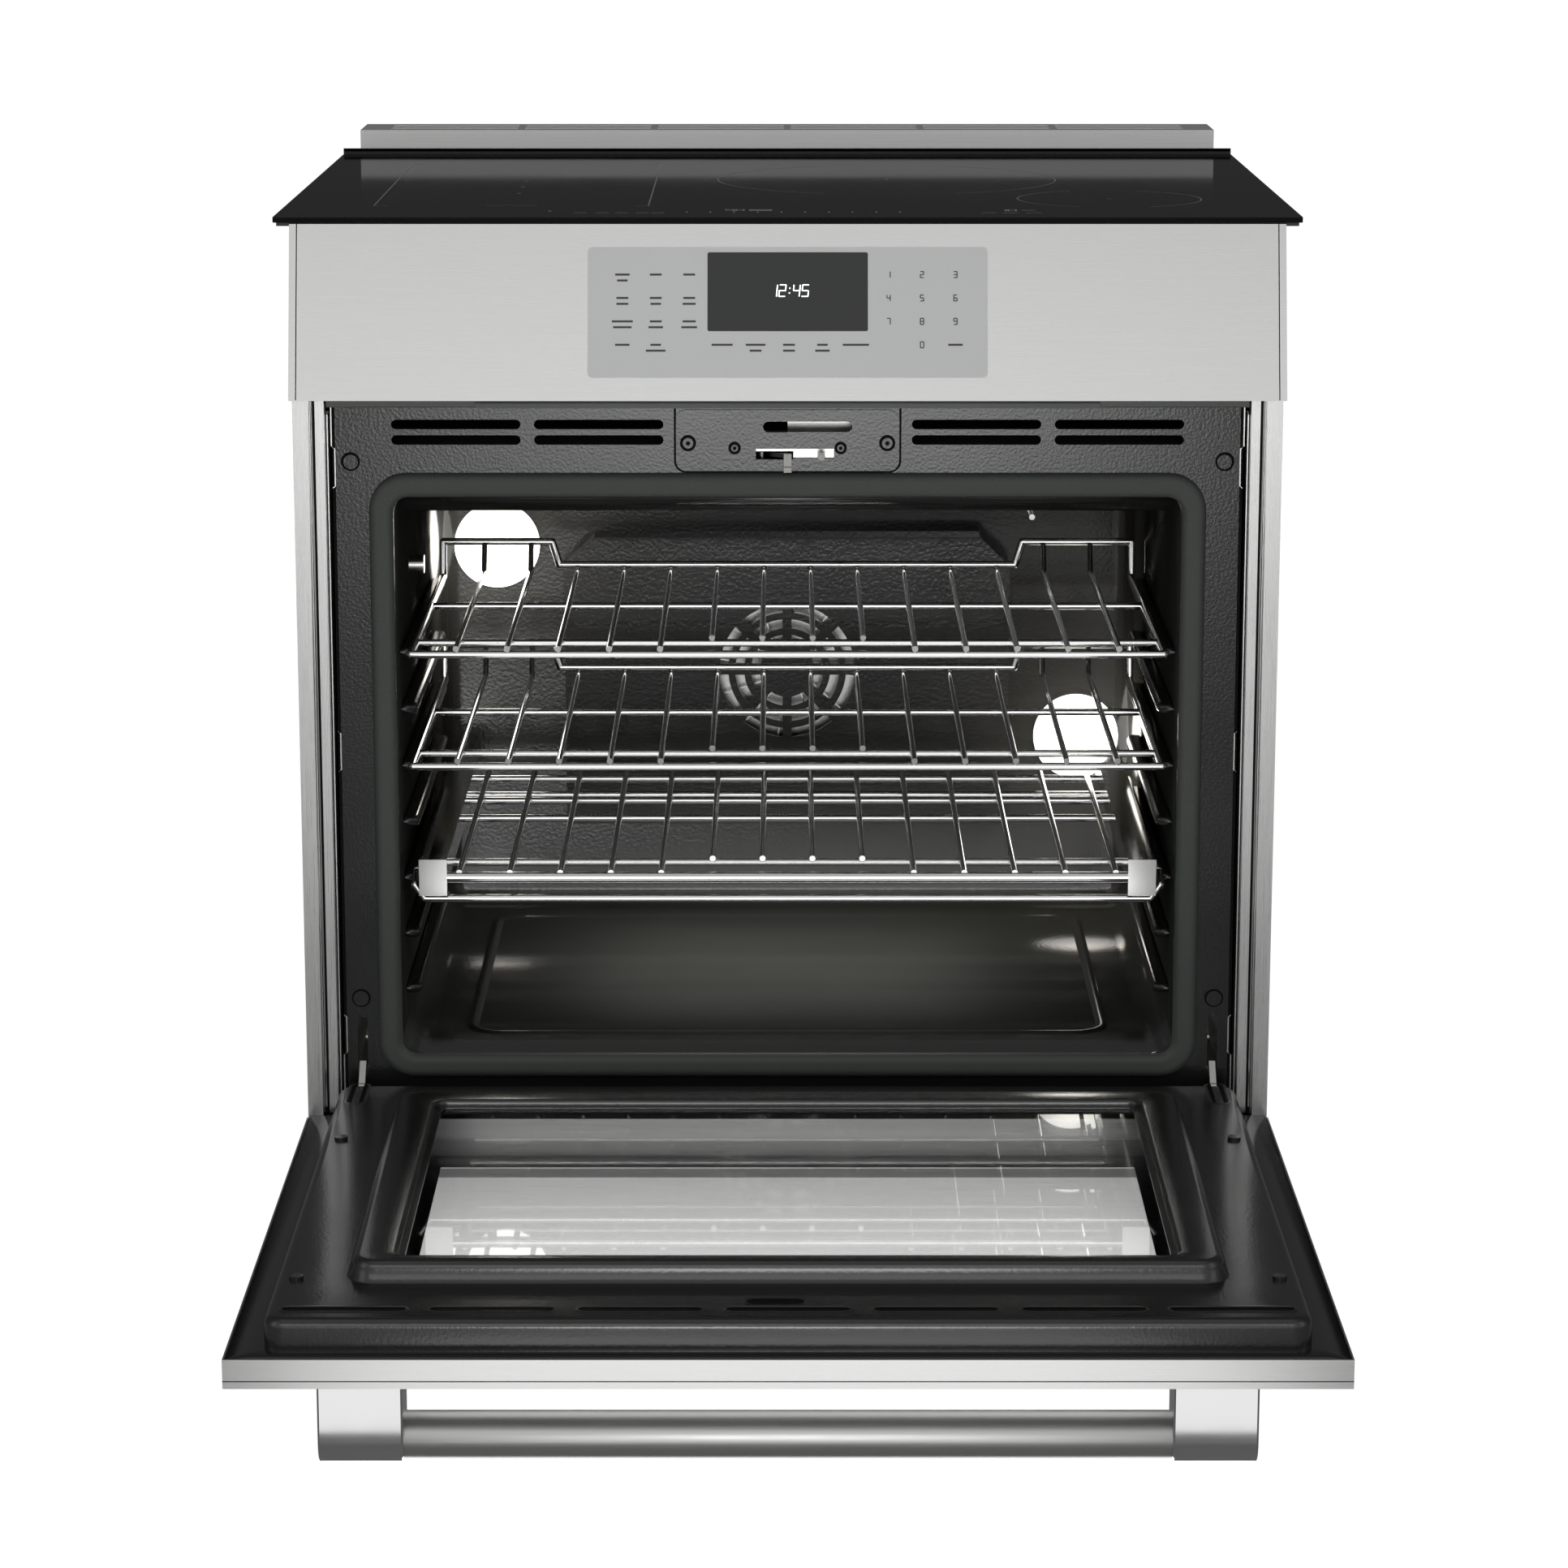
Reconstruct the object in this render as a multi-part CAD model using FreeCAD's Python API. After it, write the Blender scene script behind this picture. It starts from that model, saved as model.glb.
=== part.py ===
"""Slide-in induction range: one STEP file for each separate piece.

Millimetres, +Z up, the front faces -Y. Every function works in the body frame: X = 0 in the middle, Y = 0 on
the front face of the corner posts, Z = 0 on the floor. The pieces are moved by ORIGIN_Y on export, which puts the
origin on the floor at the middle of the footprint with the oven door open. The door is drawn closed and swung open.
"""

import FreeCAD
import Part

import math
import os

Vector = FreeCAD.Vector
X_AXIS, Y_AXIS, Z_AXIS = Vector(1, 0, 0), Vector(0, 1, 0), Vector(0, 0, 1)

# ---------------------------------------------------------------- overall sizes
BODY_WIDTH = 759.0
BODY_DEPTH = 680.0  # corner post face to back panel
COOKTOP_HEIGHT = 914.0  # floor to top of glass
SHEET = 1.0  # body panels
PORCELAIN = 1.2  # enamelled oven sheet
GAP = 0.5  # assembly clearance between neighbouring pieces

# ---------------------------------------------------------------- cooktop and backguard
GLASS_OVERHANG = 14.0  # glass past the body on each side, over the worktop
GLASS_THICKNESS = 4.0
GLASS_FRONT = 19.0
BACKGUARD_DEPTH = 71.0
BACKGUARD_RISE = 21.0  # above the glass
BACKGUARD_SKIRT = 85.0
BACKGUARD_BAYS = 6
BACKGUARD_SLOTS_PER_BAY = 3
REAR_RAIL_THICKNESS = 2.5
REAR_RAIL_RISE = 5.0
TRAY_DEPTH = 58.0
PAD_THICKNESS = 3.0  # side pads of the tray, which rest on the worktop
PAD_SHEET = 1.0
PAD_GAP, PAD_SETBACK = 1.0, 2.5  # body side to pad, and pad to glass edge
COIL_LARGE_R, COIL_SMALL_R, COIL_LEFT_R = 132.0, 70.0, 92.0
COIL_THICKNESS = 11.0

# ---------------------------------------------------------------- fascia
FASCIA_DROP = 130.6  # height of the sloping face
FASCIA_TOP_Y = 8.8
FASCIA_LEAN = 35.6  # the lower edge stands this far in front of the upper
FASCIA_SHEET = 1.5
TOUCH_WIDTH, TOUCH_HEIGHT = 304.0, 100.0
TOUCH_FROM_TOP = 17.6  # down the slope
TOUCH_THICKNESS = 2.5
DISPLAY_WIDTH, DISPLAY_HEIGHT = 122.0, 60.4
DISPLAY_FROM_TOP = 21.7

# ---------------------------------------------------------------- corner posts
POST_FACE = 11.9
POST_STEP_FACE = 12.1
POST_STEP_DEPTH = 12.0
CLIP_GAP = 3.0  # dark gap between a post and the oven frame

# ---------------------------------------------------------------- base, legs and drawer
LEG_INSET_X, LEG_INSET_FRONT, LEG_INSET_REAR = 49.0, 70.0, 60.0
FOOT_R, FOOT_HEIGHT = 19.0, 8.0
STUD_R, STUD_LENGTH = 5.0, 50.0
BASE_Z = 30.0
KICK_BOTTOM, KICK_SETBACK = 10.0, 34.0
DRAWER_BOTTOM, DRAWER_TOP = 64.0, 172.0
DRAWER_FACE_Y = -21.0
DRAWER_BEVEL = 10.0
DRAWER_SIDE_MARGIN = 41.5  # body side to drawer box
DRAWER_REAR_MARGIN = 140.0
SLIDE_HEIGHT = 16.0

# ---------------------------------------------------------------- oven frame and cavity
DOOR_BOTTOM = 194.0
DOOR_REVEAL = 9.4  # door to fascia
FRAME_Y = 30.0
FRAME_SHEET = 1.5
MOUTH_SIDE_MARGIN = 73.5  # body side to cavity side
MOUTH_ABOVE_DOOR_BOTTOM = 55.0
MOUTH_BELOW_DOOR_TOP = 68.0
MOUTH_CORNER_R = 20.0
CAVITY_REAR_MARGIN = 150.0  # cavity rear wall to back panel
CEILING_RISE = 3.0  # ceiling above the mouth
LIP_DROP = 17.0
VENT_LENGTH, VENT_HEIGHT = 100.0, 7.5
VENT_PITCH, VENT_ROW_PITCH = 110.5, 12.1
VENT_BELOW_FRAME_TOP = 16.5
GASKET_WIDTH, GASKET_BULGE, GASKET_CORNER_R = 18.6, 8.0, 29.0
INSULATION = 20.0

# ---------------------------------------------------------------- latch
LATCH_HALF_WIDTH, LATCH_HEIGHT, LATCH_PROUD = 86.3, 47.5, 2.0
LATCH_BELOW_FRAME_TOP = 5.0
HOOK_PIVOT_X, HOOK_PIVOT_Y = -20.0, 45.0
HOOK_THICKNESS = 3.0
HOOK_BELOW_FRAME_TOP = 42.0  # frame top to the underside of the hook plate
HOOK_PIN_R = 3.0
HOOK_DROP = 11.0  # hook plate to the end of its beak, clear above the gasket
SWITCH_X, SWITCH_R, SWITCH_REACH = 26.0, 3.0, 13.0

# ---------------------------------------------------------------- racks
GUIDE_COUNT = 7
GUIDE_FROM_FLOOR, GUIDE_FROM_CEILING = 50.6, 135.4  # first and last rack rail to cavity floor and ceiling
GUIDE_THICKNESS = 5.0
GUIDE_REACH = 13.0
UPPER_LEVEL, MIDDLE_LEVEL, GLIDE_LEVEL = 6, 4, 2
WIRE_R, RAIL_R, CROSS_R = 2.4, 3.2, 3.0
WELD_SINK = 0.6  # wires sink this far into the rails
WIRE_PITCH = 40.0
RACK_SIDE_GAP = 7.0
RACK_FRONT_Y = 46.0
RACK_REAR_MARGIN = 125.0  # rack rear to cavity rear wall
SHORT_WIRE_SETBACK = 49.0  # the four middle wires stop this far behind the others
SHORT_WIRES = 4
REAR_RISE = 30.0
BAFFLE_HALF_WIDTH = 196.0

# ---------------------------------------------------------------- telescoping rack
PLATE_WIDTH = 22.0
PLATE_SIDE_MARGIN = 14.4  # cavity side to plate
PLATE_RISE = 15.0  # plate underside above rack rails
RUNNER_WIDTH = 10.0
FRONT_BAR_R = 4.5

# ---------------------------------------------------------------- fan, lamps and elements
BAFFLE_DEPTH = 34.0
BAFFLE_HEIGHT, BAFFLE_CHAMFER = 258.0, 26.0
BAFFLE_SHARE_BELOW = 0.409  # share of the cavity's spare height that lies under the baffle
FAN_ABOVE_BAFFLE_BOTTOM = 139.0
SENSOR_FROM_BAFFLE, SENSOR_BELOW_CEILING = 16.0, 90.0
FAN_R, FAN_DEPTH, FAN_BLADES = 72.0, 16.0, 12
FAN_SHAFT_R = 4.0
SHAFT_CLEARANCE = 0.06
GRILLE_RINGS = ((52.0, 60.0), (38.0, 46.0), (24.0, 32.0))
LAMP_R, LAMP_DOME = 37.7, 24.0
LAMP_UPPER_FROM_SIDE, LAMP_UPPER_BELOW_CEILING = 49.0, 129.0
LAMP_LOWER_FROM_SIDE, LAMP_LOWER_ABOVE_FLOOR = 48.0, 154.0
SOCKET_R = 22.0
ELEMENT_R = 3.5
ELEMENT_RUNS = 6
PROBE_Y, PROBE_R, PROBE_REACH = 174.0, 7.5, 12.0

# ---------------------------------------------------------------- door
SKIN_Y = -21.5
SKIN_SHEET = 1.2
SKIN_EDGE_Y = -1.0
PANEL_SIDE_MARGIN = 25.5  # body side to inner panel
PANEL_Y = 21.5
PANEL_BELOW_SKIN, PANEL_BELOW_TOP = 8.0, 17.0
PLUG_DEPTH, PLUG_MOUTH_GAP = 15.0, 4.0
PLUG_BELOW_MOUTH_TOP = 28.0
WINDOW_IN_PLUG = 31.5
WINDOW_BOTTOM_IN_PLUG, WINDOW_TOP_IN_PLUG = 28.0, 16.0
WINDOW_STEP, WINDOW_LIP = 5.0, 6.0
PANE = 4.0
DOOR_VENT_LENGTH, DOOR_VENT_HEIGHT, DOOR_VENT_PITCH, DOOR_VENTS = 83.7, 9.0, 100.2, 7
DOOR_VENT_BELOW_TOP = 38.0
HANDLE_R, HANDLE_STANDOFF, HANDLE_BELOW_TOP = 16.5, 47.5, 42.0
BRACKET_WIDTH, BRACKET_R, BRACKET_SIDE_MARGIN = 58.0, 19.0, 60.5

# ---------------------------------------------------------------- hinge
PIVOT_Y = -8.0
PIVOT_ABOVE_SKIN = 7.0
HINGE_SIDE_MARGIN = 41.5
ARM_THICKNESS, ARM_HALF_HEIGHT, ARM_EYE_R = 5.0, 5.0, 7.0
ARM_RISE = 36.0  # pivot to where the arm enters the frame
PIN_R = 4.0
CHANNEL_WIDTH, CHANNEL_HEIGHT = 18.0, 225.0
NOTCH_WIDTH = 12.0

# ---------------------------------------------------------------- rear services and blower
POWER_INLET_R = 17.5
POWER_INLET_X, POWER_INLET_Z = 250.0, 130.0
LOUVRES_BELOW_TOP = 324.0
BLOWER_Y, BLOWER_R, BLOWER_HALF = 130.0, 30.0, 150.0
TRIM_SIDE_MARGIN = 114.5  # oven frame side to the outlet trim's nose
BOARD_SIDE_MARGIN = 197.0  # body side to the middle of a circuit board

# ---------------------------------------------------------------- worked out
HALF = BODY_WIDTH / 2
GLASS_BOTTOM = COOKTOP_HEIGHT - GLASS_THICKNESS
GLASS_BACK = BODY_DEPTH - BACKGUARD_DEPTH - REAR_RAIL_THICKNESS - GAP
FASCIA_BOTTOM = GLASS_BOTTOM - FASCIA_DROP
FASCIA_BOTTOM_Y = FASCIA_TOP_Y - FASCIA_LEAN
FASCIA_ANGLE = math.degrees(math.atan2(FASCIA_LEAN, FASCIA_DROP))
TRAY_BOTTOM = GLASS_BOTTOM - TRAY_DEPTH
DOOR_TOP = FASCIA_BOTTOM - DOOR_REVEAL
FRAME_TOP = DOOR_TOP
FRAME_BOTTOM = DOOR_BOTTOM + 11.0
FRAME_HALF = HALF - POST_FACE - POST_STEP_FACE + SHEET - CLIP_GAP
MOUTH_HALF = HALF - MOUTH_SIDE_MARGIN
MOUTH_BOTTOM = DOOR_BOTTOM + MOUTH_ABOVE_DOOR_BOTTOM
MOUTH_TOP = DOOR_TOP - MOUTH_BELOW_DOOR_TOP
CEILING = MOUTH_TOP + CEILING_RISE
CAVITY_REAR = BODY_DEPTH - CAVITY_REAR_MARGIN
LINER_FRONT = FRAME_Y + FRAME_SHEET
GUIDE_PITCH = (CEILING - GUIDE_FROM_CEILING - MOUTH_BOTTOM - GUIDE_FROM_FLOOR) / (GUIDE_COUNT - 1)
RACK_HALF = MOUTH_HALF - RACK_SIDE_GAP
RACK_REAR_Y = CAVITY_REAR - RACK_REAR_MARGIN
PIVOT_Z = DOOR_BOTTOM + PIVOT_ABOVE_SKIN
HINGE_X = HALF - HINGE_SIDE_MARGIN
ARM_ENTRY_Z = PIVOT_Z + ARM_RISE
BAFFLE_BOTTOM = MOUTH_BOTTOM + BAFFLE_SHARE_BELOW * (CEILING - MOUTH_BOTTOM - BAFFLE_HEIGHT)
FAN_Z = BAFFLE_BOTTOM + FAN_ABOVE_BAFFLE_BOTTOM
LAMPS = (
    (LAMP_UPPER_FROM_SIDE - MOUTH_HALF, CEILING - LAMP_UPPER_BELOW_CEILING),
    (MOUTH_HALF - LAMP_LOWER_FROM_SIDE, MOUTH_BOTTOM + LAMP_LOWER_ABOVE_FLOOR),
)
PANEL_HALF = HALF - PANEL_SIDE_MARGIN
PLUG_HALF = MOUTH_HALF - PLUG_MOUTH_GAP
PLUG_BOTTOM = MOUTH_BOTTOM + PLUG_MOUTH_GAP
PLUG_TOP = MOUTH_TOP - PLUG_BELOW_MOUTH_TOP
WINDOW_HALF = PLUG_HALF - WINDOW_IN_PLUG + 1.0
WINDOW_BOTTOM = PLUG_BOTTOM + WINDOW_BOTTOM_IN_PLUG
WINDOW_TOP = PLUG_TOP - WINDOW_TOP_IN_PLUG
HANDLE_Z = DOOR_TOP - HANDLE_BELOW_TOP
HANDLE_Y = SKIN_Y - HANDLE_STANDOFF
BRACKET_OUTER = HALF - BRACKET_SIDE_MARGIN
BRACKET_INNER = BRACKET_OUTER - BRACKET_WIDTH
HOOK_Z = FRAME_TOP - HOOK_BELOW_FRAME_TOP
DRAWER_HALF = HALF - DRAWER_SIDE_MARGIN
DRAWER_REAR = BODY_DEPTH - DRAWER_REAR_MARGIN
SLIDE_Z = (DRAWER_BOTTOM + DRAWER_TOP) / 2
OPEN_DOOR_FRONT = PIVOT_Y - (DOOR_TOP - PIVOT_Z)
ORIGIN_Y = (OPEN_DOOR_FRONT + BODY_DEPTH) / 2


# ================================================================ shapes
def box(x0, x1, y0, y1, z0, z1):
    """Box between two corners."""
    return Part.makeBox(x1 - x0, y1 - y0, z1 - z0, Vector(x0, y0, z0))


def rod(start, end, radius):
    """Round bar between two points."""
    start, end = Vector(*start), Vector(*end)
    return Part.makeCylinder(radius, (end - start).Length, start, end - start)


def disc(x, y0, y1, z, radius):
    """Round bar along Y."""
    return Part.makeCylinder(radius, y1 - y0, Vector(x, y0, z), Y_AXIS)


def bent_rod(points, radius, closed=False):
    """Round bar through several points, with a ball at each bend."""
    run = [*points, points[0]] if closed else points
    bends = points if closed else points[1:-1]
    pieces = [rod(a, b, radius) for a, b in zip(run, run[1:])]
    pieces += [Part.makeSphere(radius, Vector(*p)) for p in bends]
    return fuse(pieces)


def fuse(pieces):
    """One solid from pieces that share volume or faces."""
    first, *rest = pieces
    return first.multiFuse(rest).removeSplitter() if rest else first


def both_sides(shape):
    """The shape and its mirror image across X = 0."""
    return [shape, shape.mirror(Vector(0, 0, 0), X_AXIS)]


def plate(half_width, z0, z1, y0, y1, corner=0.0):
    """Upright plate facing front, with round corners."""
    solid = box(-half_width, half_width, y0, y1, z0, z1)
    if corner:
        upright = [e for e in solid.Edges if abs(e.BoundBox.YLength - (y1 - y0)) < 1e-6 and e.BoundBox.XLength < 1e-6]
        solid = solid.makeFillet(corner, upright)
    return solid


def slot(x, z, length, height, y0, y1):
    """Round-ended slot through an upright plate."""
    half = (length - height) / 2
    ends = [disc(x + side * half, y0, y1, z, height / 2) for side in (-1, 1)]
    return fuse([box(x - half, x + half, y0, y1, z - height / 2, z + height / 2), *ends])


def side_profile(points, x0, x1):
    """Outline in the YZ plane, made into a solid from x0 to x1."""
    corners = [Vector(x0, y, z) for y, z in points]
    face = Part.Face(Part.makePolygon([*corners, corners[0]]))
    return face.extrude(Vector(x1 - x0, 0, 0))


def plan_profile(points, z0, z1):
    """Outline in the XY plane, made into a solid from z0 to z1."""
    corners = [Vector(x, y, z0) for x, y in points]
    face = Part.Face(Part.makePolygon([*corners, corners[0]]))
    return face.extrude(Vector(0, 0, z1 - z0))


def swing_open(shape):
    """The door's pieces, turned a quarter turn about the hinge pins."""
    opened = shape.copy()
    opened.rotate(Vector(0, PIVOT_Y, PIVOT_Z), X_AXIS, 90)
    return opened


def lean(shape):
    """A piece drawn upright below the fascia's top edge, laid on the slope."""
    leaned = shape.copy()
    leaned.rotate(Vector(0, FASCIA_TOP_Y, GLASS_BOTTOM), X_AXIS, -FASCIA_ANGLE)
    return leaned


def guide_z(level):
    """Height of a rack's side rails at a guide level, counted from the bottom."""
    return MOUTH_BOTTOM + GUIDE_FROM_FLOOR + level * GUIDE_PITCH


# ================================================================ body
def leg_places():
    """Centres of the four feet."""
    ys = (LEG_INSET_FRONT, BODY_DEPTH - LEG_INSET_REAR)
    return [(side * (HALF - LEG_INSET_X), y) for side in (-1, 1) for y in ys]


def base_frame():
    inner = HALF - SHEET - GAP
    rear = BODY_DEPTH - SHEET - GAP
    pan = box(-inner, inner, KICK_SETBACK + SHEET + GAP, rear, BASE_Z, BASE_Z + 1.5)
    front = box(-FRAME_HALF, FRAME_HALF, KICK_SETBACK + SHEET + GAP, KICK_SETBACK + SHEET + 2, BASE_Z, DRAWER_BOTTOM - 4)
    nuts = [box(x - 16, x + 16, y - 16, y + 16, BASE_Z, BASE_Z + 14) for x, y in leg_places()]
    holes = [Part.makeCylinder(STUD_R + 0.3, 20, Vector(x, y, BASE_Z - 2)) for x, y in leg_places()]
    return fuse([pan, front, *nuts]).cut(holes)


def leveling_legs():
    legs = []
    for x, y in leg_places():
        foot = Part.makeCone(FOOT_R, FOOT_R - 4, FOOT_HEIGHT, Vector(x, y, 0))
        legs.append(fuse([foot, Part.makeCylinder(STUD_R, STUD_LENGTH, Vector(x, y, FOOT_HEIGHT))]))
    return Part.makeCompound(legs)


def side_panel(side):
    outer = box(HALF - SHEET, HALF, POST_STEP_DEPTH + GAP, BODY_DEPTH - SHEET - GAP, BASE_Z - 8, GLASS_BOTTOM - FASCIA_SHEET - GAP)
    rear = box(HALF - 14, HALF, BODY_DEPTH - 2 * SHEET - GAP, BODY_DEPTH - SHEET - GAP, BASE_Z + 2, TRAY_BOTTOM - 4)
    panel = fuse([outer, rear])
    return panel if side > 0 else panel.mirror(Vector(0, 0, 0), X_AXIS)


def back_panel():
    y0, y1 = BODY_DEPTH - SHEET, BODY_DEPTH
    top = GLASS_BOTTOM - BACKGUARD_SKIRT + BACKGUARD_RISE - GAP
    sheet = box(-HALF, HALF, y0, y1, BASE_Z, top)
    louvres = [
        slot(x, COOKTOP_HEIGHT - LOUVRES_BELOW_TOP + row * 18, 70, 6, y0 - 1, y1 + 1)
        for row in range(5)
        for x in (-200, -100, 0, 100, 200)
    ]
    inlet = disc(POWER_INLET_X, y0 - 1, y1 + 1, POWER_INLET_Z, POWER_INLET_R)
    return sheet.cut([*louvres, inlet])


def kick_plate():
    return box(-FRAME_HALF, FRAME_HALF, KICK_SETBACK, KICK_SETBACK + SHEET, KICK_BOTTOM, DRAWER_BOTTOM - 4)


def front_post(side):
    """Stepped stainless corner post with the clip strip that holds the oven frame."""
    top = FASCIA_BOTTOM - 3
    face_in = HALF - POST_FACE
    step_in = face_in - POST_STEP_FACE + SHEET
    outline = [
        (HALF, 0), (face_in, 0), (face_in, POST_STEP_DEPTH), (step_in, POST_STEP_DEPTH),
        (step_in, FRAME_Y), (step_in + SHEET, FRAME_Y), (step_in + SHEET, POST_STEP_DEPTH + SHEET),
        (face_in + SHEET, POST_STEP_DEPTH + SHEET), (face_in + SHEET, SHEET), (HALF - SHEET, SHEET),
        (HALF - SHEET, POST_STEP_DEPTH), (HALF, POST_STEP_DEPTH),
    ]
    post = plan_profile(outline, DRAWER_BOTTOM, top)
    clip_x = FRAME_HALF + CLIP_GAP - 1.6
    strip = box(clip_x, clip_x + 0.8, FRAME_Y - 6, FRAME_Y + 14, FRAME_BOTTOM + 4, FRAME_TOP - 8)
    tie = box(clip_x, HALF - SHEET - GAP, FRAME_Y + 13, FRAME_Y + 14, FRAME_BOTTOM + 4, FRAME_TOP - 8)
    clip = fuse([strip, tie])
    pieces = [post, clip]
    if side < 0:
        pieces = [p.mirror(Vector(0, 0, 0), X_AXIS) for p in pieces]
    return Part.makeCompound(pieces)


# ================================================================ oven
def vent_slots(y0, y1):
    """Four pairs of cooling slots across the top of the oven frame."""
    rows = [FRAME_TOP - VENT_BELOW_FRAME_TOP - row * VENT_ROW_PITCH for row in (0, 1)]
    first = LATCH_HALF_WIDTH + 59.7
    columns = [side * (first + i * VENT_PITCH) for side in (-1, 1) for i in (0, 1)]
    fitting = [x for x in columns if abs(x) + VENT_LENGTH / 2 < FRAME_HALF - 12]
    return [slot(x, z, VENT_LENGTH, VENT_HEIGHT, y0, y1) for x in fitting for z in rows]


def oven_front_frame():
    y0, y1 = FRAME_Y, FRAME_Y + FRAME_SHEET
    sheet = box(-FRAME_HALF, FRAME_HALF, y0, y1, FRAME_BOTTOM, FRAME_TOP)
    returns = both_sides(box(FRAME_HALF - FRAME_SHEET, FRAME_HALF, y0, y0 + 12, FRAME_BOTTOM, FRAME_TOP))
    top_return = box(-FRAME_HALF, FRAME_HALF, y0, y0 + 25, FRAME_TOP - FRAME_SHEET, FRAME_TOP)
    mouth = plate(MOUTH_HALF, MOUTH_BOTTOM, MOUTH_TOP, y0 - 1, y1 + 1, MOUTH_CORNER_R)
    latch_hole = box(-60, 65, y0 - 1, y1 + 1, FRAME_TOP - 48, FRAME_TOP - 10)
    hinge_holes = both_sides(slot_upright(HINGE_X, ARM_ENTRY_Z - 8, ARM_ENTRY_Z + 45, 8, y0 - 1, y1 + 1))
    lip = box(-MOUTH_HALF + 5, MOUTH_HALF - 5, LINER_FRONT + 7, LINER_FRONT + 8.5, MOUTH_TOP - LIP_DROP, CEILING)
    frame = fuse([sheet, *returns, top_return]).cut([mouth, latch_hole, *hinge_holes, *vent_slots(y0 - 1, y1 + 1)])
    return Part.makeCompound([frame, lip])


def slot_upright(x, z0, z1, width, y0, y1):
    """Round-ended upright slot through a plate."""
    r = width / 2
    return fuse([box(x - r, x + r, y0, y1, z0 + r, z1 - r), disc(x, y0, y1, z0 + r, r), disc(x, y0, y1, z1 - r, r)])


def oven_liner():
    t = PORCELAIN
    outer = box(-MOUTH_HALF - t, MOUTH_HALF + t, LINER_FRONT, CAVITY_REAR + t, MOUTH_BOTTOM - t, CEILING + t)
    inner = box(-MOUTH_HALF, MOUTH_HALF, LINER_FRONT - 1, CAVITY_REAR, MOUTH_BOTTOM, CEILING)
    holes = [disc(x, CAVITY_REAR - 1, CAVITY_REAR + t + 1, z, SOCKET_R + GAP) for x, z in LAMPS]
    holes.append(disc(0, CAVITY_REAR - 1, CAVITY_REAR + t + 1, FAN_Z, FAN_SHAFT_R + 4))
    holes.append(rod((-MOUTH_HALF - 2 * t, PROBE_Y, probe_z()), (-MOUTH_HALF + 1, PROBE_Y, probe_z()), 5.5))
    return outer.cut(inner).cut(holes)


def door_gasket():
    y0 = FRAME_Y - GASKET_BULGE
    half = MOUTH_HALF + GASKET_WIDTH
    z0, z1 = MOUTH_BOTTOM + 0.9 - GASKET_WIDTH, MOUTH_TOP + GASKET_WIDTH - 4.9
    outer = plate(half, z0, z1, y0, FRAME_Y, GASKET_CORNER_R)
    inner = plate(half - GASKET_WIDTH, z0 + GASKET_WIDTH, z1 - GASKET_WIDTH, y0 - 1, FRAME_Y + 1, MOUTH_CORNER_R - 8)
    ring = outer.cut(inner)
    front_edges = [e for e in ring.Edges if e.BoundBox.YMax < y0 + 1e-6]
    return ring.makeFillet(GASKET_BULGE * 0.8, front_edges)


def insulation_jacket():
    t = PORCELAIN + GAP
    y0, y1 = LINER_FRONT + 2, CAVITY_REAR + PORCELAIN + INSULATION + 12
    outer = box(-MOUTH_HALF - INSULATION - t, MOUTH_HALF + INSULATION + t, y0, y1, MOUTH_BOTTOM - 24, CEILING + 30)
    inner = box(-MOUTH_HALF - t, MOUTH_HALF + t, y0 - 1, CAVITY_REAR + t, MOUTH_BOTTOM - t, CEILING + t)
    latch_pocket = box(-70, 90, y0 - 1, 120, CEILING + 7, CEILING + 31)
    bake_pocket = box(-MOUTH_HALF + 30, MOUTH_HALF - 30, 50, CAVITY_REAR - 20, MOUTH_BOTTOM - 14, MOUTH_BOTTOM)
    holes = [disc(x, CAVITY_REAR, y1 + 1, z, SOCKET_R + 2) for x, z in LAMPS]
    holes.append(disc(0, CAVITY_REAR, y1 + 1, FAN_Z, 46))
    probe_end = MOUTH_HALF + INSULATION + 4
    holes.append(rod((-probe_end, PROBE_Y, probe_z()), (-MOUTH_HALF, PROBE_Y, probe_z()), 12))
    return outer.cut([inner, latch_pocket, bake_pocket, *holes])


def rack_guide(side):
    """Seven ledges on a backing plate, along one cavity side."""
    y0, y1 = RACK_FRONT_Y + 24, RACK_REAR_Y - 10
    back = box(MOUTH_HALF - 1.2, MOUTH_HALF, y0 + 4, y1 - 4, guide_z(0) - 12, guide_z(GUIDE_COUNT - 1) + 2)
    ledges = []
    for level in range(GUIDE_COUNT):
        top = guide_z(level) - RAIL_R - GAP
        ledges.append(box(MOUTH_HALF - GUIDE_REACH, MOUTH_HALF, y0, y1, top - GUIDE_THICKNESS, top))
    guide = fuse([back, *ledges])
    return guide if side > 0 else guide.mirror(Vector(0, 0, 0), X_AXIS)


def grille_cuts(y0, y1):
    """Arc slots in four quadrants, in rings around the fan's axis."""
    cuts = []
    for r0, r1 in GRILLE_RINGS:
        ring = disc(0, y0, y1, FAN_Z, r1).cut(disc(0, y0 - 1, y1 + 1, FAN_Z, r0))
        spokes = []
        for angle in (0, 45, 90, 135):
            spoke = box(-r1 - 1, r1 + 1, y0 - 1, y1 + 1, FAN_Z - 4, FAN_Z + 4)
            spoke.rotate(Vector(0, 0, FAN_Z), Y_AXIS, angle)
            spokes.append(spoke)
        cuts.append(ring.cut(spokes))
    return cuts


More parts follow.
